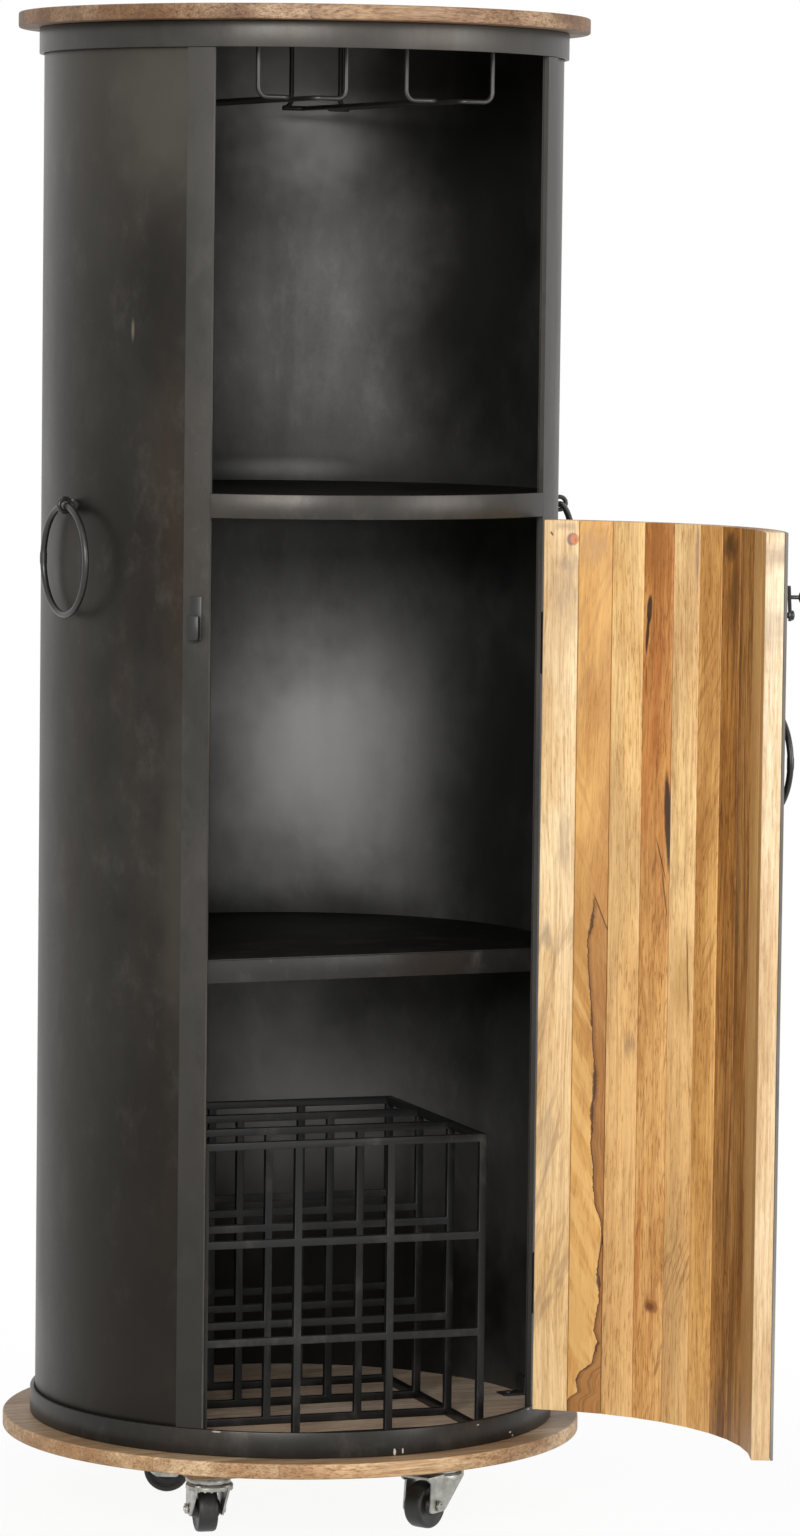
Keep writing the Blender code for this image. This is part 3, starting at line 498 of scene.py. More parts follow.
boardLook = {
    "strip": 0.0823, "phase": 0.034, "seed": 3.0, "wander": 0.03, "lean": 0.0, "patchy": 0.9, "stripe": 0.7,
    "pores": 0.7, "heart": (180, 142, 102), "dark": (146, 108, 72),
    "vein": (120, 80, 46), "seam": (96, 66, 40),
    "tones": [(204, 171, 131), (216, 187, 149), (198, 161, 119), (182, 145, 105)],
}
faceLook = dict(boardLook, heart=(152, 124, 94), dark=(124, 96, 68),
                tones=[(166, 142, 112), (178, 156, 128), (162, 134, 102), (148, 120, 90)])
dustLook = dict(faceLook, heart=(210, 190, 168), dark=(168, 144, 120), stripe=0.6,
                tones=[(220, 202, 182), (230, 214, 194), (214, 192, 168), (198, 174, 150)])
topLook = dict(boardLook, seed=7.0, heart=(134, 102, 74), dark=(96, 68, 46), pores=0.9,
               tones=[(160, 128, 98), (178, 150, 120), (148, 114, 82), (132, 98, 68)])


def boardFinish(name, look):  # glued strips that run across the board
    paint = Paint(name, {"Specular IOR Level": 0.35})
    along, across, depth = paint.axes(paint.place())
    count = (across + look["phase"]) / look["strip"] + 100.0  # kept above zero
    strip = count.calc("FLOOR")
    chance = paint.node("TexWhiteNoise", {"noise_dimensions": "1D"}, {"W": strip + look["seed"]}, "Value")
    seam = paint.band(abs(count - strip - 0.5), 0.490, 0.498)
    grain = mangoGrain(paint, across + chance * 3.0, depth + chance, along + chance * 5.0, look)
    tones = [(k / 3, srgb(*colour)) for k, colour in enumerate(look["tones"])]
    tone = mangoTone(paint, grain, look, paint.node("ValToRGB", {"stops": tones}, {0: chance}))
    slope = paint.vector(across + chance, depth, along)
    streak = paint.noise(paint.stretch(slope, (60, 60, 2.5)), 1.0, 3, 0.6, 0.4)
    tone = paint.mix(paint.band(streak, 0.62, 0.74) * 0.4, tone, srgb(*look["vein"]))
    tone = paint.mix(seam * 0.3, tone, srgb(*look["seam"]))
    rough = 0.52 + (grain["fibre"] - 0.5) * 0.2 + grain["fleck"] * 0.08
    relief = grain["fibre"] * 0.5 - grain["fleck"] * 0.5 - grain["dash"] * 0.8 - seam * 0.8
    return paint.give(Base_Color=tone, Roughness=rough, Normal=paint.bump(relief, 0.25, 0.0007))


def zincFinish(name):
    paint = Paint(name, {"Metallic": 0.9})
    spot = paint.place()
    cloud = paint.noise(spot, 60, 3, 0.6)
    scratch = paint.noise(paint.stretch(spot, (900, 900, 60)), 1.0, 2, 0.6)
    tone = paint.mix(paint.band(cloud, 0.35, 0.7), srgb(150, 149, 142), srgb(186, 185, 178))
    tone = paint.mix(paint.band(scratch, 0.6, 0.75) * 0.3, tone, srgb(108, 104, 96))
    rough = 0.36 + (cloud - 0.5) * 0.25 + (scratch - 0.5) * 0.12
    return paint.give(Base_Color=tone, Roughness=rough, Normal=paint.bump(scratch, 0.12, 0.0004))


def wheelFinish(name):
    paint = Paint(name, {"Specular IOR Level": 0.45})
    spot = paint.place()
    dust = paint.noise(spot, 70, 4, 0.65)
    grain = paint.noise(spot, 800, 2, 0.6)
    tone = paint.mix(paint.band(dust, 0.45, 0.75) * 0.6, srgb(26, 26, 26), srgb(66, 62, 57))
    rough = 0.46 + (dust - 0.5) * 0.3
    return paint.give(Base_Color=tone, Roughness=rough, Normal=paint.bump(grain, 0.12, 0.0005))


linerLook = dict(
    gunmetalLook, dark=(34, 33, 31), mid=(44, 43, 41), rust=(42, 39, 35), rough=0.38, metal=0.0, gloss=0.5
)
wallLook = dict(
    linerLook, dark=(76, 75, 74), mid=(97, 96, 95), rust=(84, 81, 77), rough=0.58, metal=0.85, gloss=0.2,
    mottle=0.2, bloom=(136, 135, 134), seed=2.0
)
drumPatches = [
    patch((-0.222, -0.165, 1.29), (0.06, 0.06, 0.13), (30, 27, 23), 0.6),
    patch((-0.255, -0.10, 1.14), (0.05, 0.06, 0.16), (36, 33, 28), 0.5),
    patch((-0.26, -0.09, 0.86), (0.05, 0.05, 0.12), (36, 33, 28), 0.5),
    patch((-0.22, -0.165, 1.50), (0.09, 0.09, 0.12), (84, 80, 73), 0.55),
    patch((-0.205, -0.185, 0.70), (0.04, 0.04, 0.30), (74, 69, 62), 0.4),
    patch((-0.2435, -0.129, 1.268), (0.003, 0.003, 0.016), (120, 112, 100), 0.6, fray=0.4),
]
drumFinish = gunmetalPaint(
    "gunmetal_drum", gunmetalLook, crown=(72, 68, 62), foot=(36, 32, 27), patches=drumPatches
)
wallPaintedLight = [  # painted light and shade on the inside wall: a painted pool of light in the middle of each compartment and at the top, a painted reflection along the foot of the upper one, painted shadow under the shelves, behind the rack and to the right
    patch((0.13, 0.24, 0.80), (0.24, 0.24, 0.22), (152, 151, 150), 0.75, grain=9, core=0.0),
    patch((0.08, 0.26, 0.19), (0.40, 0.40, 0.19), (34, 33, 32), 0.9, grain=9, core=0.5),
    patch((0.09, 0.26, 0.42), (0.22, 0.22, 0.20), (138, 137, 136), 0.6, grain=9, core=0.0),
    patch((0.10, 0.25, 1.53), (0.13, 0.13, 0.15), (206, 205, 204), 0.8, grain=9, core=0.0),
    patch((0.10, 0.25, 1.12), (0.26, 0.26, 0.10), (62, 61, 60), 0.7, grain=9),
    patch((0.08, 0.26, 1.111), (0.12, 0.12, 0.018), (136, 135, 134), 0.8, fray=0.4, core=0.0),
    patch((0.08, 0.26, 1.09), (0.40, 0.40, 0.05), (30, 29, 28), 0.7, fray=0.5),
    patch((0.08, 0.26, 0.60), (0.40, 0.40, 0.06), (30, 29, 28), 0.7, fray=0.5),
    patch((0.27, 0.08, 1.36), (0.20, 0.20, 0.44), (36, 35, 34), 0.85, grain=9),
    patch((0.28, 0.05, 0.80), (0.17, 0.17, 0.40), (38, 37, 36), 0.85, grain=9),
]
linerFinish = gunmetalPaint("gunmetal_liner", wallLook, patches=wallPaintedLight)
shelfFinish = gunmetalPaint(
    "gunmetal_shelf", linerLook, dark=(28, 27, 26), mid=(38, 37, 35), gloss=0.4, seed=2.5
)
trayFinish = gunmetalPaint(
    "gunmetal_shelf_top", linerLook, dark=(14, 13, 12), mid=(20, 19, 18), rough=0.7, gloss=0.06,
    mottle=0.1, seed=2.7
)
barLook = dict(
    gunmetalLook, dark=(52, 50, 47), mid=(66, 63, 59), rust=(60, 52, 43), metal=0.5, rough=0.41, seed=4.0
)
chipped = {"tone": (214, 208, 196), "amount": 0.95, "core": 0.7, "fray": 0.7, "grain": 500}
hoopChips = [
    dict(chipped, at=(-0.0012, -0.2808, 0.1108), size=(0.0016, 0.004, 0.0042)),
    dict(chipped, at=(0.0080, -0.2807, 0.1112), size=(0.0010, 0.004, 0.0034)),
    dict(chipped, at=(0.1515, -0.2364, 0.1135), size=(0.0022, 0.004, 0.0012)),
    dict(chipped, at=(0.1555, -0.2338, 0.1095), size=(0.0016, 0.004, 0.0014), amount=0.7),
    dict(chipped, at=(0.1025, -0.2614, 0.1290), size=(0.0020, 0.004, 0.0010), amount=0.6),
    dict(chipped, at=(0.1835, -0.2125, 0.1318), size=(0.0030, 0.004, 0.0012), tone=(150, 146, 138)),
    dict(chipped, at=(-0.1760, -0.2188, 0.1325), size=(0.0060, 0.005, 0.0010), tone=(150, 146, 138),
         amount=0.7),
]
barFinish = gunmetalPaint("gunmetal_bar_stock", barLook, crown=(72, 70, 66), foot=(42, 40, 36))
# the bar stock painted paler for cut edges: a painted edge highlight
edgeFinish = gunmetalPaint(
    "painted_edge_highlight", barLook, dark=(104, 101, 96), mid=(136, 132, 126), metal=0.6, seed=4.5
)
topHoopFinish = gunmetalPaint("gunmetal_top_hoop", barLook, dark=(56, 54, 51), mid=(74, 71, 67), seed=5.0)
# the bottom hoop is the bar stock painted darker, as painted shade; the chips on it are wear
hoopFinish = gunmetalPaint(
    "gunmetal_hoop", barLook, dark=(38, 36, 33), mid=(52, 49, 45), seed=6.0, patches=hoopChips
)
rackFinish = gunmetalPaint(
    "black_rack_bar", linerLook, dark=(15, 15, 15), mid=(24, 24, 24), rust=(28, 26, 24), rough=0.40,
    gloss=0.3, seed=9.0
)
wireFinish = gunmetalPaint("black_wire", linerLook, dark=(24, 23, 22), mid=(34, 33, 31), rough=0.36, seed=8.0)
boardWood = boardFinish("mango_board", boardLook)
faceWood = boardFinish("mango_board_face", faceLook)
dustWood = boardFinish("mango_board_inside", dustLook)
topWood = boardFinish("mango_top", topLook)
crownWood = boardFinish("mango_top_face", dict(boardLook, seed=7.0))
zinc = zincFinish("zinc_plated_steel")
wheelBlack = wheelFinish("black_wheel_rubber")
print("finishes made")

# sizes shared by the pieces, from the CAD nodes where they give them

shellLow, shellHigh = (corner.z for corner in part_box("body_shell"))
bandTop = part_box("bottom_band")[1].z
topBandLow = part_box("top_band")[0].z
doorLow, doorHigh = (corner.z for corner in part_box("door_skin"))
railLow, railHigh = (corner.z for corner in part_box("upper_shelf"))
drum = {
    "radius": 0.2755, "sheet": 0.0015, "bar": 0.005, "gap": 0.0003, "stile": 0.029,
    "opening": math.radians(42.1),  # each way from the front
    "sheetSoft": 0.0003, "barSoft": 0.0008, "hoopSoft": 0.0012,  # how far the edges are rounded
}
bandIn = drum["radius"] + drum["gap"]
bandOut = bandIn + drum["bar"]
hingePoint = Vector(joints["door_hinge"]["pos_m"])
hingePoint.z = 0
doorOpen = math.radians(105)
doorTurn = Matrix.Rotation(doorOpen, 4, "Z")
doorSwing = Matrix.Translation(hingePoint) @ doorTurn @ Matrix.Translation(-hingePoint)


# round boards and battens

boardShape = {"sides": 288, "rim": 0.002, "rimSteps": 5, "battenSoft": 0.0008}


def roundBoard(node, wood):
    low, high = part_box(node)
    radius = (high.x - low.x) / 2
    bpy.ops.mesh.primitive_cylinder_add(
        vertices=boardShape["sides"], radius=radius, depth=high.z - low.z,
        location=(0, 0, (low.z + high.z) / 2)
    )
    board = applyPlace(bpy.context.object)
    pick(board, "EDGE", lambda a, b: abs(a.z - b.z) < 1e-5 and a.xy.length > radius - 1e-4)
    bpy.ops.mesh.bevel(offset=boardShape["rim"], segments=boardShape["rimSteps"], profile=0.5, affect="EDGES")
    deselect()
    return finishPiece(board, node + "_wood", "cabinet", wood, [node], 40)


def middleUp(centre, normal):
    return normal.z > 0.9 and centre.xy.length < 0.01


topBoard = roundBoard("top_board", topWood)
paintFaces(topBoard, crownWood, facesUp)  # the upper face keeps the paler colour of the boards
baseBoard = roundBoard("base_board", boardWood)
pick(baseBoard, "FACE", middleUp)
bpy.ops.mesh.inset(thickness=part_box("base_board")[1].x - boardShape["rim"] - drum["radius"], depth=0)
deselect()
paintFaces(baseBoard, faceWood, facesUp)  # the upper face is greyer with wear
paintFaces(baseBoard, dustWood, middleUp)  # and dusty inside the drum
for side in ("left", "right"):
    node = "base_batten_" + side
    batten = cadCopy(node, boardShape["battenSoft"])
    finishPiece(batten, node + "_wood", "cabinet", boardWood, [node])
print("boards done")

# drum, bands, stiles and shelves

shell = spunStrip(
    drum["radius"] - drum["sheet"], drum["radius"], shellLow, shellHigh, drum["opening"],
    math.tau - drum["opening"], drum["sheetSoft"], 220
)
finishPiece(shell, "drum_shell", "cabinet", drumFinish, ["body_shell"])
paintFaces(shell, linerFinish, lambda centre, normal: normal.xy.dot(centre.xy) < 0)  # the inside

bottomBand = spunStrip(bandIn, bandOut, shellLow, bandTop, 0, math.tau, drum["hoopSoft"], 288)
finishPiece(bottomBand, "bottom_hoop", "cabinet", hoopFinish, ["bottom_band"])
topBand = spunStrip(bandIn, bandOut, topBandLow, shellHigh, 0, math.tau, drum["barSoft"], 288)
finishPiece(topBand, "top_hoop", "cabinet", topHoopFinish, ["top_band"])

stileReach = drum["opening"] + drum["stile"] / bandOut
stileLow, stileHigh = (corner.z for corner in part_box("left_stile"))
leftStile = spunStrip(
    bandIn, bandOut, stileLow, stileHigh, -stileReach, -drum["opening"], drum["barSoft"], 12
)
finishPiece(leftStile, "left_stile_bar", "cabinet", barFinish, ["left_stile"])
paintFaces(leftStile, edgeFinish, cutEdge(Vector((0, 0, 0))))  # its cut edges are painted paler, as a painted edge highlight
rightStile = spunStrip(
    bandIn, bandOut, stileLow, stileHigh, drum["opening"], stileReach, drum["barSoft"], 12
)
finishPiece(rightStile, "right_stile_bar", "cabinet", barFinish, ["right_stile"])

shelf = {"sides": 240, "sink": 0.0025, "lap": 0.02, "weld": 0.001, "frontSoft": 0.0002, "lipSoft": 0.0005}


def discSheet(radius, top, sheet, cutFront=None):
    bpy.ops.mesh.primitive_circle_add(
        vertices=shelf["sides"], radius=radius, fill_type="NGON", location=(0, 0, top - sheet)
    )
    disc = applyPlace(bpy.context.object)
    pickAll(disc)
    if cutFront is not None:
        bpy.ops.mesh.bisect(
            plane_co=(0, cutFront, 0), plane_no=(0, 1, 0), clear_inner=True, clear_outer=False, use_fill=False
        )
        bpy.ops.mesh.select_all(action="SELECT")
    bpy.ops.mesh.extrude_region_move(TRANSFORM_OT_translate={"value": (0, 0, sheet)})
    return tidyMesh(disc)


railReach = drum["opening"] - drum["gap"] / drum["radius"]
shelfIn = drum["radius"] - drum["sheet"] - drum["gap"]
upperTop = railHigh - shelf["sink"]
upperSheet = discSheet(shelfIn, upperTop, drum["sheet"])
upperRail = spunStrip(bandIn, bandOut, railLow, railHigh, -railReach, railReach, drum["barSoft"], 60)
upperFront = spunStrip(
    shelfIn - shelf["lap"], bandIn + shelf["weld"], upperTop - drum["sheet"], upperTop, -railReach, railReach,
    shelf["frontSoft"], 60
)
upperShelf = joinPieces(upperSheet, upperRail, upperFront)
finishPiece(upperShelf, "upper_shelf_sheet", "cabinet", shelfFinish, ["upper_shelf"])


def onRail(centre, normal):
    return centre.xy.length > bandIn - 1e-4


def onTray(centre, normal):
    return facesUp(centre, normal) and not onRail(centre, normal)


paintFaces(upperShelf, barFinish, onRail)  # bar stock like the stiles
paintFaces(upperShelf, trayFinish, onTray)  # dull and dark

lowerLow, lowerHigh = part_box("lower_shelf")
lowerSheet = discSheet(shelfIn, lowerHigh.z, drum["sheet"], lowerLow.y)
lipHalf = math.sqrt(shelfIn**2 - lowerLow.y**2) - drum["sheet"]
lip = block(
    (2 * lipHalf, drum["sheet"], lowerHigh.z - lowerLow.z - drum["sheet"]),
    (0, lowerLow.y + drum["sheet"] / 2, (lowerLow.z + lowerHigh.z - drum["sheet"]) / 2)
)
lowerShelf = softenEdges(joinPieces(lowerSheet, lip), shelf["lipSoft"])
finishPiece(lowerShelf, "lower_shelf_sheet", "cabinet", shelfFinish, ["lower_shelf"])
paintFaces(lowerShelf, trayFinish, facesUp)

# angle tabs inside, each with the screw that holds it to the board

tab = {
    "angles": (89, 180, -89), "wide": 0.022, "reach": 0.024, "thick": 0.002, "tall": 0.020, "soft": 0.0005,
    "gap": 0.0002, "screw": 0.0042, "screwHigh": 0.002, "screwAt": 0.6, "slot": 0.0009, "slotTurn": 0.4,
}


def slotScrew(radius, height, slot):  # a domed head with a cross slot, its seat at the origin
    bpy.ops.mesh.primitive_cylinder_add(vertices=24, radius=radius, depth=height, location=(0, 0, height / 2))
    head = applyPlace(bpy.context.object)
    pick(head, "EDGE", lambda a, b: min(a.z, b.z) > height - 1e-6 and a.xy.length > radius * 0.9)
    bpy.ops.mesh.bevel(offset=height * 0.6, segments=3, affect="EDGES")
    deselect()
    for turn in (tab["slotTurn"], tab["slotTurn"] + math.pi / 2):
        cutter = block((radius * 1.3, slot, height), (0, 0, height), turn)
        focus(head)
        cut = head.modifiers.new("slot", "BOOLEAN")
        cut.operation = "DIFFERENCE"
        cut.object = cutter
        bpy.ops.object.modifier_apply(modifier=cut.name)
        discard(cutter)
    return head


leaf = block((tab["wide"], tab["reach"], tab["thick"]), (0, tab["reach"] / 2, tab["thick"] / 2))
pick(leaf, "FACE", lambda centre, normal: normal.y < -0.9)
bpy.ops.mesh.extrude_region_move(TRANSFORM_OT_translate={"value": (0, -tab["thick"], 0)})
deselect()
pick(leaf, "FACE", lambda centre, normal: normal.z > 0.9 and centre.y < 0)
bpy.ops.mesh.extrude_region_move(TRANSFORM_OT_translate={"value": (0, 0, tab["tall"] - tab["thick"])})
deselect()
softenEdges(leaf, tab["soft"])
screw = slotScrew(tab["screw"], tab["screwHigh"], tab["slot"])
joinPieces(leaf, place(screw, Matrix.Translation((0, tab["reach"] * tab["screwAt"], tab["thick"]))))
for k, degrees in enumerate(tab["angles"]):
    angle = math.radians(degrees)
    seat = polar(drum["radius"] - drum["sheet"] - tab["thick"] - tab["gap"], angle, shellLow + tab["gap"])
    copy = place(duplicate(leaf), Matrix.Translation(seat) @ Matrix.Rotation(angle, 4, "Z"))
    finishPiece(copy, "drum_tab_%d" % (k + 1), "cabinet", shelfFinish, (), 40)
discard(leaf)
print("drum done")

# stemware rails of bent rod

rail = {"radius": 0.0026, "bend": 0.010, "width": 0.098, "slot": 0.026, "centre": 0.083}


def bentRod(post, run, front, back, high, low):  # down, across, back along the run and up
    side = 1 if run > post else -1
    bend = rail["bend"]
    bpy.ops.mesh.primitive_circle_add(
        vertices=16, radius=rail["radius"], fill_type="NGON", location=(post, front, high)
    )
    rod = applyPlace(bpy.context.object)
    pickAll(rod)

    def go(x, y, z):
        bpy.ops.mesh.extrude_region_move(TRANSFORM_OT_translate={"value": (x, y, z)})

    def turn(centre, axis):
        bpy.ops.mesh.spin(steps=8, angle=math.pi / 2, center=centre, axis=axis)

    across = abs(run - post) - 2 * bend
    go(0, 0, low + bend - high)
    turn((post + side * bend, front, low + bend), (0, side, 0))
    go(side * across, 0, 0)
    turn((run - side * bend, front + bend, low), (0, 0, -side))
    go(0, back - front - 2 * bend, 0)
    turn((run - side * bend, back - bend, low), (0, 0, -side))
    go(-side * across, 0, 0)
    turn((post + side * bend, back, low + bend), (0, side, 0))
    go(0, 0, high - low - bend)
    return tidyMesh(rod)


for hanger, centre in (("left", -rail["centre"]), ("right", rail["centre"])):
    for name, side in (("left", -1), ("right", 1)):
        node = "%s_hanger_%s_rail" % (hanger, name)
        low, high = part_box(node)
        rodPiece = bentRod(
            centre + side * rail["width"] / 2, centre + side * rail["slot"] / 2, low.y + rail["radius"],
            high.y - rail["radius"], high.z, low.z + rail["radius"]
        )
        finishPiece(rodPiece, node + "_rod", "cabinet", wireFinish, [node], 50)
print("stemware rails done")

# bottle rack

rackSoft = 0.0007
for k in range(1, 5):
    grid = cadCopy("rack_grid_%d" % k, rackSoft)
    finishPiece(grid, "rack_grid_%d_bars" % k, "cabinet", rackFinish, ["rack_grid_%d" % k])
print("rack done")

# door: rolled sheet outside, staves inside

doorShape = {"thick": 0.003, "gap": 0.0025, "soft": 0.0005, "steps": 90}
staveShape = {"middle": 0.268, "soft": 0.0004}
doorHalf = drum["opening"] - doorShape["gap"] / bandOut
skin = spunStrip(
    bandOut - doorShape["thick"], bandOut, doorLow, doorHigh, -doorHalf, doorHalf, doorShape["soft"],
    doorShape["steps"]
)
place(skin, doorSwing)
finishPiece(skin, "door_sheet", "door", drumFinish, ["door_skin"])
paintFaces(skin, edgeFinish, cutEdge(doorSwing @ Vector((0, 0, 0))))  # its cut edges are painted paler, as a painted edge highlight

pale = {"light": (242, 216, 170), "heart": (222, 184, 128), "dark": (190, 150, 100)}
golden = {"light": (222, 172, 102), "heart": (198, 144, 78), "dark": (170, 118, 62)}
russet = {"light": (204, 146, 82), "heart": (176, 114, 56), "dark": (138, 84, 38)}
umber = {"light": (178, 124, 62), "heart": (146, 96, 42), "dark": (100, 62, 26)}
greyStain = {"tone": (152, 130, 108), "amount": 0.6, "soft": 0.95, "fray": 2.6, "grain": (110.0, 26.0)}
pocket = {"tone": (52, 34, 24), "amount": 0.94, "soft": 0.4, "fray": 0.5}
bark = {  # the path is (height, millimetres across)
    "low": 0.136, "high": 0.683, "span": 0.06, "heart": (166, 112, 58), "rim": (122, 76, 38),
    "ink": (62, 36, 24),
    "path": [
        (0.143, 18.7), (0.150, 17), (0.158, 5.6), (0.170, 8.2), (0.179, 4.7), (0.189, -8.4), (0.213, -15),
        (0.224, -10), (0.257, -16), (0.291, -13.6), (0.322, -18), (0.342, -16), (0.360, -9), (0.396, -6.5),
        (0.425, -4.1), (0.454, -4.9), (0.500, -7.3), (0.522, -4.9), (0.573, -2.4), (0.595, 0.7), (0.636, 3),
        (0.652, -1.4), (0.683, -4.4),
    ],
}
staveLooks = [  # from the hinge to the free edge
    dict(pale, seed=1.0, low={"light": (238, 202, 146)}, fade=0.7, gain=1.05, pores=0.45, veins=[
        vein(0.25, (64, 64, 9), 0.55, 0.5, (158, 124, 92), (0.20, 0.66)),
    ], marks=[
        dict(greyStain, at=(-0.004, 1.028), size=(0.020, 0.016)),
        dict(greyStain, at=(-0.006, 1.000), size=(0.022, 0.05), amount=0.35),
        dict(greyStain, at=(-0.004, 1.069), size=(0.014, 0.006)),
        dict(greyStain, at=(-0.0075, 0.739), size=(0.012, 0.045), amount=0.4),
        dict(greyStain, at=(0.0094, 0.639), size=(0.012, 0.022), amount=0.6),
        dict(greyStain, at=(0.008, 0.42), size=(0.014, 0.07), amount=0.35),
        patch((-0.0118, 1.0555), (0.0072, 0.0080), (104, 70, 84), 0.8, soft=0.35, fray=0.5),
        patch((-0.0140, 1.0553), (0.0056, 0.0064), (200, 124, 76), 0.95, soft=0.4, fray=0.5),
        patch((-0.0150, 1.0545), (0.0022, 0.0030), (170, 92, 56), 0.6, soft=0.7),
        patch((0.0104, 1.0612), (0.0018, 0.0030), (64, 44, 32), 0.9, lean=0.5),
    ]),
    dict(golden, seed=2.3, gain=1.07, wander=0.05, lean=0.06, pores=0.4, stripe=0.25, bark=bark, veins=[
        vein(-0.5, (52, 52, 8), 0.46, 0.45, (240, 196, 124), (0.14, 0.62)),
        vein(-0.35, (70, 70, 9), 0.50, 0.35, (178, 122, 60), (0.30, 0.86)),
        vein(0.35, (70, 70, 9), 0.55, 0.3, (164, 122, 84), (0.86, 1.1)),
    ], marks=[
        dict(greyStain, at=(0.002, 1.045), size=(0.020, 0.035), tone=(184, 142, 104), amount=0.6),
    ]),
    dict(pale, light=(236, 198, 136), heart=(220, 174, 108), seed=3.9,
         low={"light": (228, 182, 120), "heart": (212, 164, 104)}, fade=0.9, gain=1.09, marks=[
        dict(greyStain, at=(-0.008, 0.53), size=(0.009, 0.020), tone=(150, 116, 88)),
    ]),
    dict(russet, seed=5.2,
         low={"light": (226, 178, 114), "heart": (206, 152, 88), "dark": (170, 116, 60)}, fade=0.95,
         turns=0.72, pores=0.9, veins=[
        vein(0.06, (64, 64, 3.2), 0.54, 0.45, (186, 112, 60), (0.70, 0.95)),
        vein(0.05, (64, 64, 3.2), 0.55, 0.5, (188, 108, 52), (0.22, 0.42)),
        vein(0.16, (190, 190, 16), 0.58, 0.5, (120, 74, 36)),
    ], marks=[
        patch((0.0, 1.055), (0.026, 0.075), (150, 92, 42), 0.6, soft=0.8, fray=1.0),
        dict(pocket, at=(0.0112, 0.985), size=(0.0040, 0.019), lean=-0.05),
        dict(pocket, at=(0.0134, 0.960), size=(0.0024, 0.026), lean=-0.07),
        dict(pocket, at=(0.0142, 0.912), size=(0.0009, 0.020), amount=0.7),
        dict(pocket, at=(-0.0168, 0.765), size=(0.0056, 0.062), lean=0.06),
        dict(pocket, at=(-0.0085, 0.726), size=(0.0010, 0.026), lean=0.30, amount=0.8),
        dict(pocket, at=(-0.0135, 0.690), size=(0.0012, 0.030), lean=0.16, amount=0.7),
        patch((-0.0042, 0.262), (0.0130, 0.0200), (176, 116, 64), 0.6, soft=0.8, fray=1.0),
        patch((-0.0042, 0.257), (0.0110, 0.0085), (146, 90, 46), 0.8, soft=0.4),
        patch((-0.0030, 0.2565), (0.0062, 0.0052), (108, 62, 32), 0.8, soft=0.5),
    ]),
    dict(pale, light=(246, 210, 152), heart=(222, 180, 122), seed=6.7,
         low={"light": (224, 178, 116), "heart": (206, 158, 98)}, fade=0.95, gain=1.15, marks=[
        patch((-0.0155, 1.045), (0.0035, 0.040), (138, 106, 96), 0.6, soft=0.6, fray=0.8),
        patch((-0.0102, 0.612), (0.0016, 0.060), (84, 58, 38), 0.9, soft=0.5, lean=0.045, fray=0.4),
        patch((0.0, 0.60), (0.022, 0.07), (196, 148, 86), 0.6, soft=0.9, fray=1.4, grain=(90.0, 20.0)),
    ], veins=[
        vein(0.40, (190, 190, 16), 0.49, 0.9, (104, 64, 26), (0.285, 0.315)),
    ]),
    dict(golden, light=(222, 172, 104), heart=(196, 144, 80), dark=(164, 112, 58), seed=8.1,
         gain=1.22, pores=0.8, veins=[
        vein(0.45, (210, 210, 15), 0.54, 0.5, (150, 98, 48), (0.55, 0.98)),
        vein(0.05, (90, 90, 4), 0.57, 0.4, (144, 112, 78), (0.14, 0.5)),
    ]),
    dict(umber, seed=9.4, gain=1.22, pores=1.1, stripe=0.7,
         low={"light": (194, 144, 84), "heart": (164, 114, 58)}, fade=0.7, turns=0.5, veins=[
        vein(0.05, (90, 90, 3.5), 0.54, 0.7, (96, 58, 22)),
    ], marks=[
        patch((0.002, 1.055), (0.018, 0.022), (58, 36, 18), 0.8, soft=0.8, fray=1.5),
        patch((-0.006, 1.00), (0.012, 0.045), (90, 58, 28), 0.6, soft=0.8, fray=1.3),
    ]),
    dict(umber, light=(176, 128, 70), seed=11.0, gain=1.15, pores=1.0, stripe=0.8, veins=[
        vein(-0.03, (70, 70, 2.6), 0.54, 0.6, (108, 72, 34)),
    ]),
    dict(golden, light=(208, 162, 102), heart=(190, 142, 84), seed=12.6, gain=1.05, pores=0.3, stripe=0.3,
         low={"light": (184, 142, 90), "heart": (166, 124, 74)}, fade=0.8),
    dict(pale, light=(250, 234, 202), heart=(242, 218, 178), seed=14.1, gain=1.06, pores=0.4,
         low={"light": (242, 214, 170), "heart": (228, 194, 146)}, fade=0.8, turns=0.72, marks=[
        dict(greyStain, at=(-0.021, 1.05), size=(0.010, 0.02), tone=(150, 122, 100)),
        dict(greyStain, at=(-0.021, 0.98), size=(0.012, 0.05), amount=0.35),
    ]),
]
staveStep = 2 * doorHalf / len(staveLooks)
for k, look in enumerate(staveLooks):
    node = "door_stave_%02d" % (k + 1)
    angle = doorHalf - (k + 0.5) * staveStep
    middle = doorSwing @ polar(staveShape["middle"], angle)
    wood = staveFinish("stave_wood_%02d" % (k + 1), tuple(middle), angle + doorOpen, dict(staveBase, **look))
    stave = cadCopy(node, staveShape["soft"])
    finishPiece(stave, node + "_wood", "door", wood, [node])
inward = -(doorSwing.to_3x3() @ polar(1.0, angle)).normalized()
# the inner face of the last stave takes the darker look of the stave before it, as painted shade
shadedInnerLook = dict(dict(staveBase, **staveLooks[-2]), seed=15.3)
shadedInnerWood = staveFinish("stave_wood_10_inside", tuple(middle), angle + doorOpen, shadedInnerLook)
paintFaces(stave, shadedInnerWood, lambda centre, normal: normal.dot(inward) > 0.9)  # painted shade: the inner face is darker and browner than the free edge
print("door done")

# rings, eyes, hinges and latch

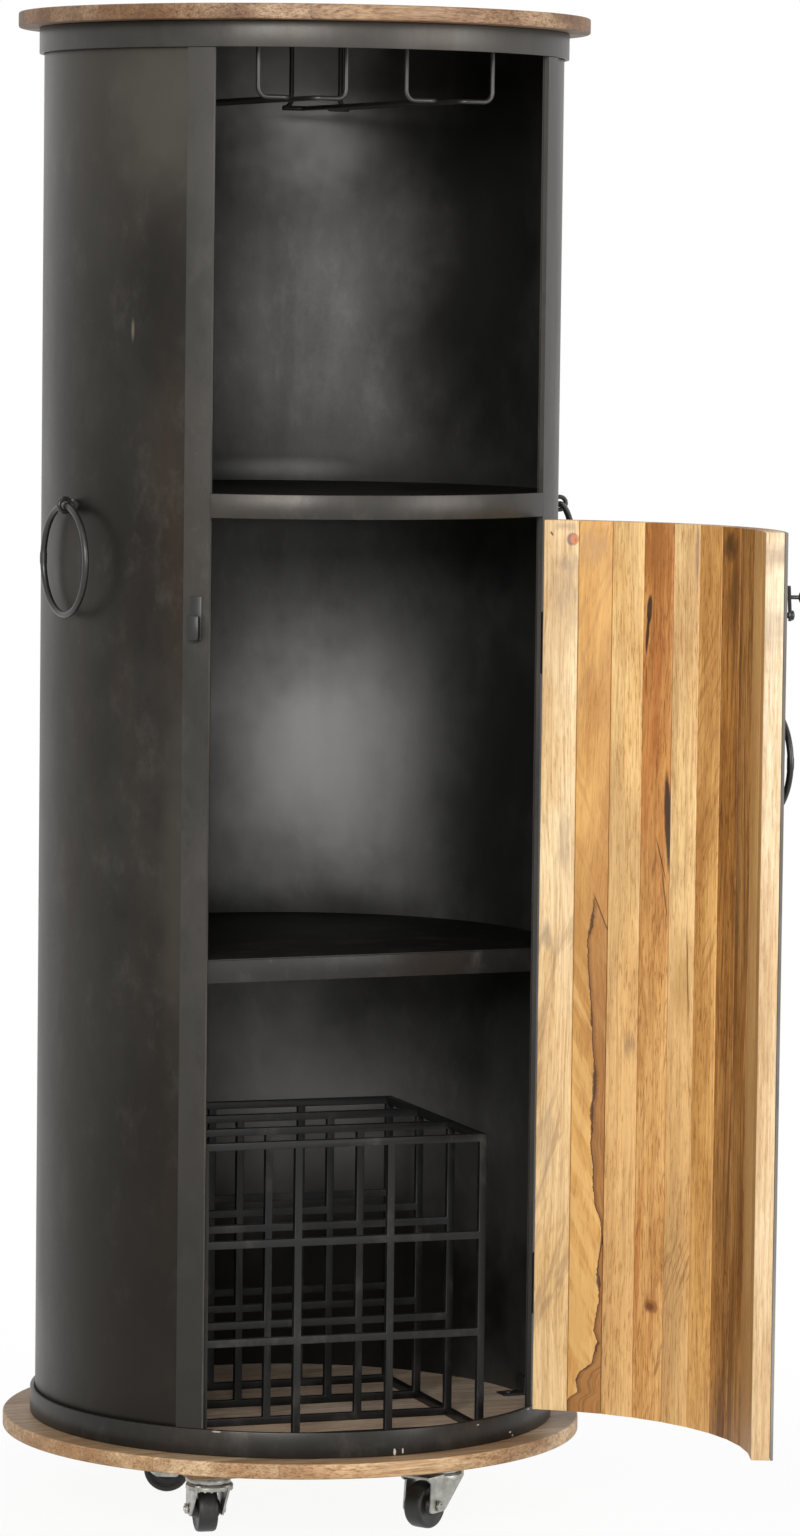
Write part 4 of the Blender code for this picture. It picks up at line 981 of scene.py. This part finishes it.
ring = {"radius": 0.0567, "wire": 0.0034, "weldReach": 0.0055, "weldSize": 1.12}
bpy.ops.mesh.primitive_torus_add(
    major_segments=96, minor_segments=16, major_radius=ring["radius"], minor_radius=ring["wire"],
    location=(0, 0, 0), rotation=(math.pi / 2, 0, 0)
)
hoop = applyPlace(bpy.context.object)
weld = Vector((ring["radius"], 0, 0))  # a slight butt weld at the side
pick(hoop, "VERT", lambda co: (co - weld).length < ring["weldReach"])
bpy.ops.transform.resize(value=(ring["weldSize"], ring["weldSize"], ring["weldSize"]))
deselect()
for name in ("left_ring", "right_ring", "door_ring"):
    joint = joints[name + "_swing"]
    along = Vector(joint["axis"])
    hung = Vector(joint["pos_m"]) - Vector((0, 0, ring["radius"]))
    turn = Matrix.Rotation(math.atan2(along.y, along.x), 4, "Z")
    copy = place(duplicate(hoop), Matrix.Translation(hung) @ turn)
    finishPiece(copy, name + "_hoop", name, wireFinish, [name], 60)
discard(hoop)

fitting = {"soft": 0.0003, "flat": 0.5, "angle": 40}
smallFittings = ["left_eye", "right_eye", "door_eye", "latch_keeper", "latch_lever", "latch_pivot",
                 "lower_hinge_pin_knuckle", "upper_hinge_pin_knuckle", "lower_hinge_door_knuckle",
                 "upper_hinge_door_knuckle"]
for node in smallFittings:
    piece = cadCopy(node, fitting["soft"], fitting["flat"], fitting["angle"])
    finishPiece(piece, node + "_metal", bodyOf(node), wireFinish, [node], 42)
print("fittings done")

# casters

wheel = {"radius": 0.025, "half": 0.0105, "hub": 0.015, "bore": 0.0033}
teeth = {"count": 22, "radius": 0.0242, "wide": 0.0028, "thick": 0.0016, "low": 0.0506, "high": 0.0522}
casterPart = {"soft": 0.0004, "flat": 0.5, "angle": 40}
wheelProfile = [
    (wheel["bore"], wheel["hub"]), (0.0078, wheel["hub"]), (0.0090, 0.0142), (0.0098, 0.0104),
    (0.0112, 0.0092), (0.0182, 0.0092), (0.0196, 0.0101), (0.0222, wheel["half"]), (0.0238, 0.0099),
    (0.0247, 0.0083), (wheel["radius"], 0.0062),
]
wheelProfile += [(r, -y) for r, y in wheelProfile[::-1]]
tyre = spunProfile(wheelProfile, 64)
tooth = block(
    (teeth["wide"], teeth["thick"], teeth["high"] - teeth["low"]), (0, 0, (teeth["low"] + teeth["high"]) / 2)
)
pick(tooth, "FACE", lambda centre, normal: normal.z < -0.9)
bpy.ops.transform.resize(value=(0.6, 0.8, 1))  # narrower below
deselect()
place(tooth, Matrix.Translation((0, -teeth["radius"], 0)))
toothRing = duplicate(tooth)
for k in range(1, teeth["count"]):
    joinPieces(toothRing, place(duplicate(tooth), Matrix.Rotation(math.tau * k / teeth["count"], 4, "Z")))
discard(tooth)
for corner in ("front_left", "front_right", "back_left", "back_right"):
    joint = joints[corner + "_wheel_roll"]
    turn = Vector(joint["axis"]).to_track_quat("Z", "Y").to_matrix().to_4x4()
    copy = place(duplicate(tyre), Matrix.Translation(joint["pos_m"]) @ turn)
    node = corner + "_wheel"
    finishPiece(copy, corner + "_tyre", bodyOf(node), wheelBlack, [node], 40)
    king = Vector(joints[corner + "_caster_swivel"]["pos_m"])
    copy = place(duplicate(toothRing), Matrix.Translation((king.x, king.y, 0)))
    finishPiece(copy, corner + "_brake_teeth", bodyOf(corner + "_fork"), zinc, (), 40)
    for part in ("_fork", "_caster_plate", "_axle"):
        node = corner + part
        piece = cadCopy(node, casterPart["soft"], casterPart["flat"], casterPart["angle"])
        finishPiece(piece, node + "_zinc", bodyOf(node), zinc, [node], 40)
discard(tyre)
discard(toothRing)
print("casters done")

# stage, light and camera

stageLook = {
    "floor": (0.95, 0.95, 0.95), "near": 0.25, "far": 1.3, "edge": 0.1, "drop": 0.0005, "cover": 0.07,
    "ambient": 0.42,
}
bpy.ops.mesh.primitive_circle_add(
    vertices=96, radius=stageLook["far"] + stageLook["edge"], fill_type="NGON",
    location=(0, 0, -stageLook["drop"])
)
floor = applyPlace(bpy.context.object)
floor.name = "stage_floor"
floorPaint = Paint("pale_floor", {"Roughness": 0.9, "Base Color": (*stageLook["floor"], 1)})
reach = floorPaint.length(floorPaint.place())
cover = floorPaint.band(reach, stageLook["near"], stageLook["far"], stageLook["cover"], 0.0)
floor.data.materials.append(floorPaint.give(Alpha=cover))

world = bpy.data.worlds.new("studio")
bpy.context.scene.world = world
world.use_nodes = True
sky = world.node_tree
path = sky.nodes.new("ShaderNodeLightPath")
glow = sky.nodes["Background"]
glow.inputs["Color"].default_value = (1, 1, 1, 1)
glow.inputs["Strength"].default_value = stageLook["ambient"]
white = sky.nodes.new("ShaderNodeBackground")
white.inputs["Color"].default_value = (1, 1, 1, 1)
white.inputs["Strength"].default_value = 1.0
seen = path.outputs["Is Camera Ray"]
for ray in ("Is Glossy Ray", "Is Transmission Ray"):
    either = sky.nodes.new("ShaderNodeMath")
    either.operation = "MAXIMUM"
    sky.links.new(seen, either.inputs[0])
    sky.links.new(path.outputs[ray], either.inputs[1])
    seen = either.outputs[0]
blend = sky.nodes.new("ShaderNodeMixShader")
sky.links.new(seen, blend.inputs[0])
sky.links.new(glow.outputs[0], blend.inputs[1])
sky.links.new(white.outputs[0], blend.inputs[2])
sky.links.new(blend.outputs[0], sky.nodes["World Output"].inputs[0])

lamps = [
    {"name": "key_box", "round": -31, "far": 7.0, "high": 2.9, "wide": 3.4, "tall": 2.2, "power": 420},
    {"name": "side_box", "round": 38, "far": 7.0, "high": 2.1, "wide": 3.0, "tall": 3.0, "power": 250},
]
lampAim = Vector((0, 0, 0.9))
for lamp in lamps:
    data = bpy.data.lights.new(lamp["name"], "AREA")
    data.shape = "RECTANGLE"
    data.size, data.size_y = lamp["wide"], lamp["tall"]
    data.energy = lamp["power"]
    light = bpy.data.objects.new(lamp["name"], data)
    bpy.context.scene.collection.objects.link(light)
    light.location = polar(lamp["far"], math.radians(lamp["round"]), lamp["high"])
    light.rotation_euler = (lampAim - light.location).to_track_quat("-Z", "Y").to_euler()
    light.visible_camera = False

view = {
    "far": 6.45832, "round": -22.999, "high": 1.31542, "yaw": 0.97659, "down": 4.54508, "roll": 0.68093,
    "lens": 94.541, "sensor": 24,
}
bearing = math.radians(view["round"])
heading = math.atan2(math.cos(bearing), -math.sin(bearing)) - math.radians(view["yaw"])
level = Vector((math.cos(heading), math.sin(heading), 0))
right = Vector((level.y, -level.x, 0))
down, roll = math.radians(view["down"]), math.radians(view["roll"])
ahead = level * math.cos(down) - Vector((0, 0, math.sin(down)))
up = right.cross(ahead)
rolledRight = right * math.cos(roll) + up * math.sin(roll)
rolledUp = up * math.cos(roll) - right * math.sin(roll)
camera = bpy.data.objects.new("camera", bpy.data.cameras.new("camera"))
bpy.context.scene.collection.objects.link(camera)
camera.data.sensor_fit = "VERTICAL"
camera.data.sensor_height = view["sensor"]
camera.data.lens = view["lens"]
turned = Matrix((rolledRight, rolledUp, -ahead)).transposed().to_4x4()
spot = Vector((view["far"] * math.sin(bearing), -view["far"] * math.cos(bearing), view["high"]))
camera.matrix_world = Matrix.Translation(spot) @ turned
bpy.context.scene.camera = camera
bpy.context.scene.view_settings.view_transform = "Standard"
print("stage done")
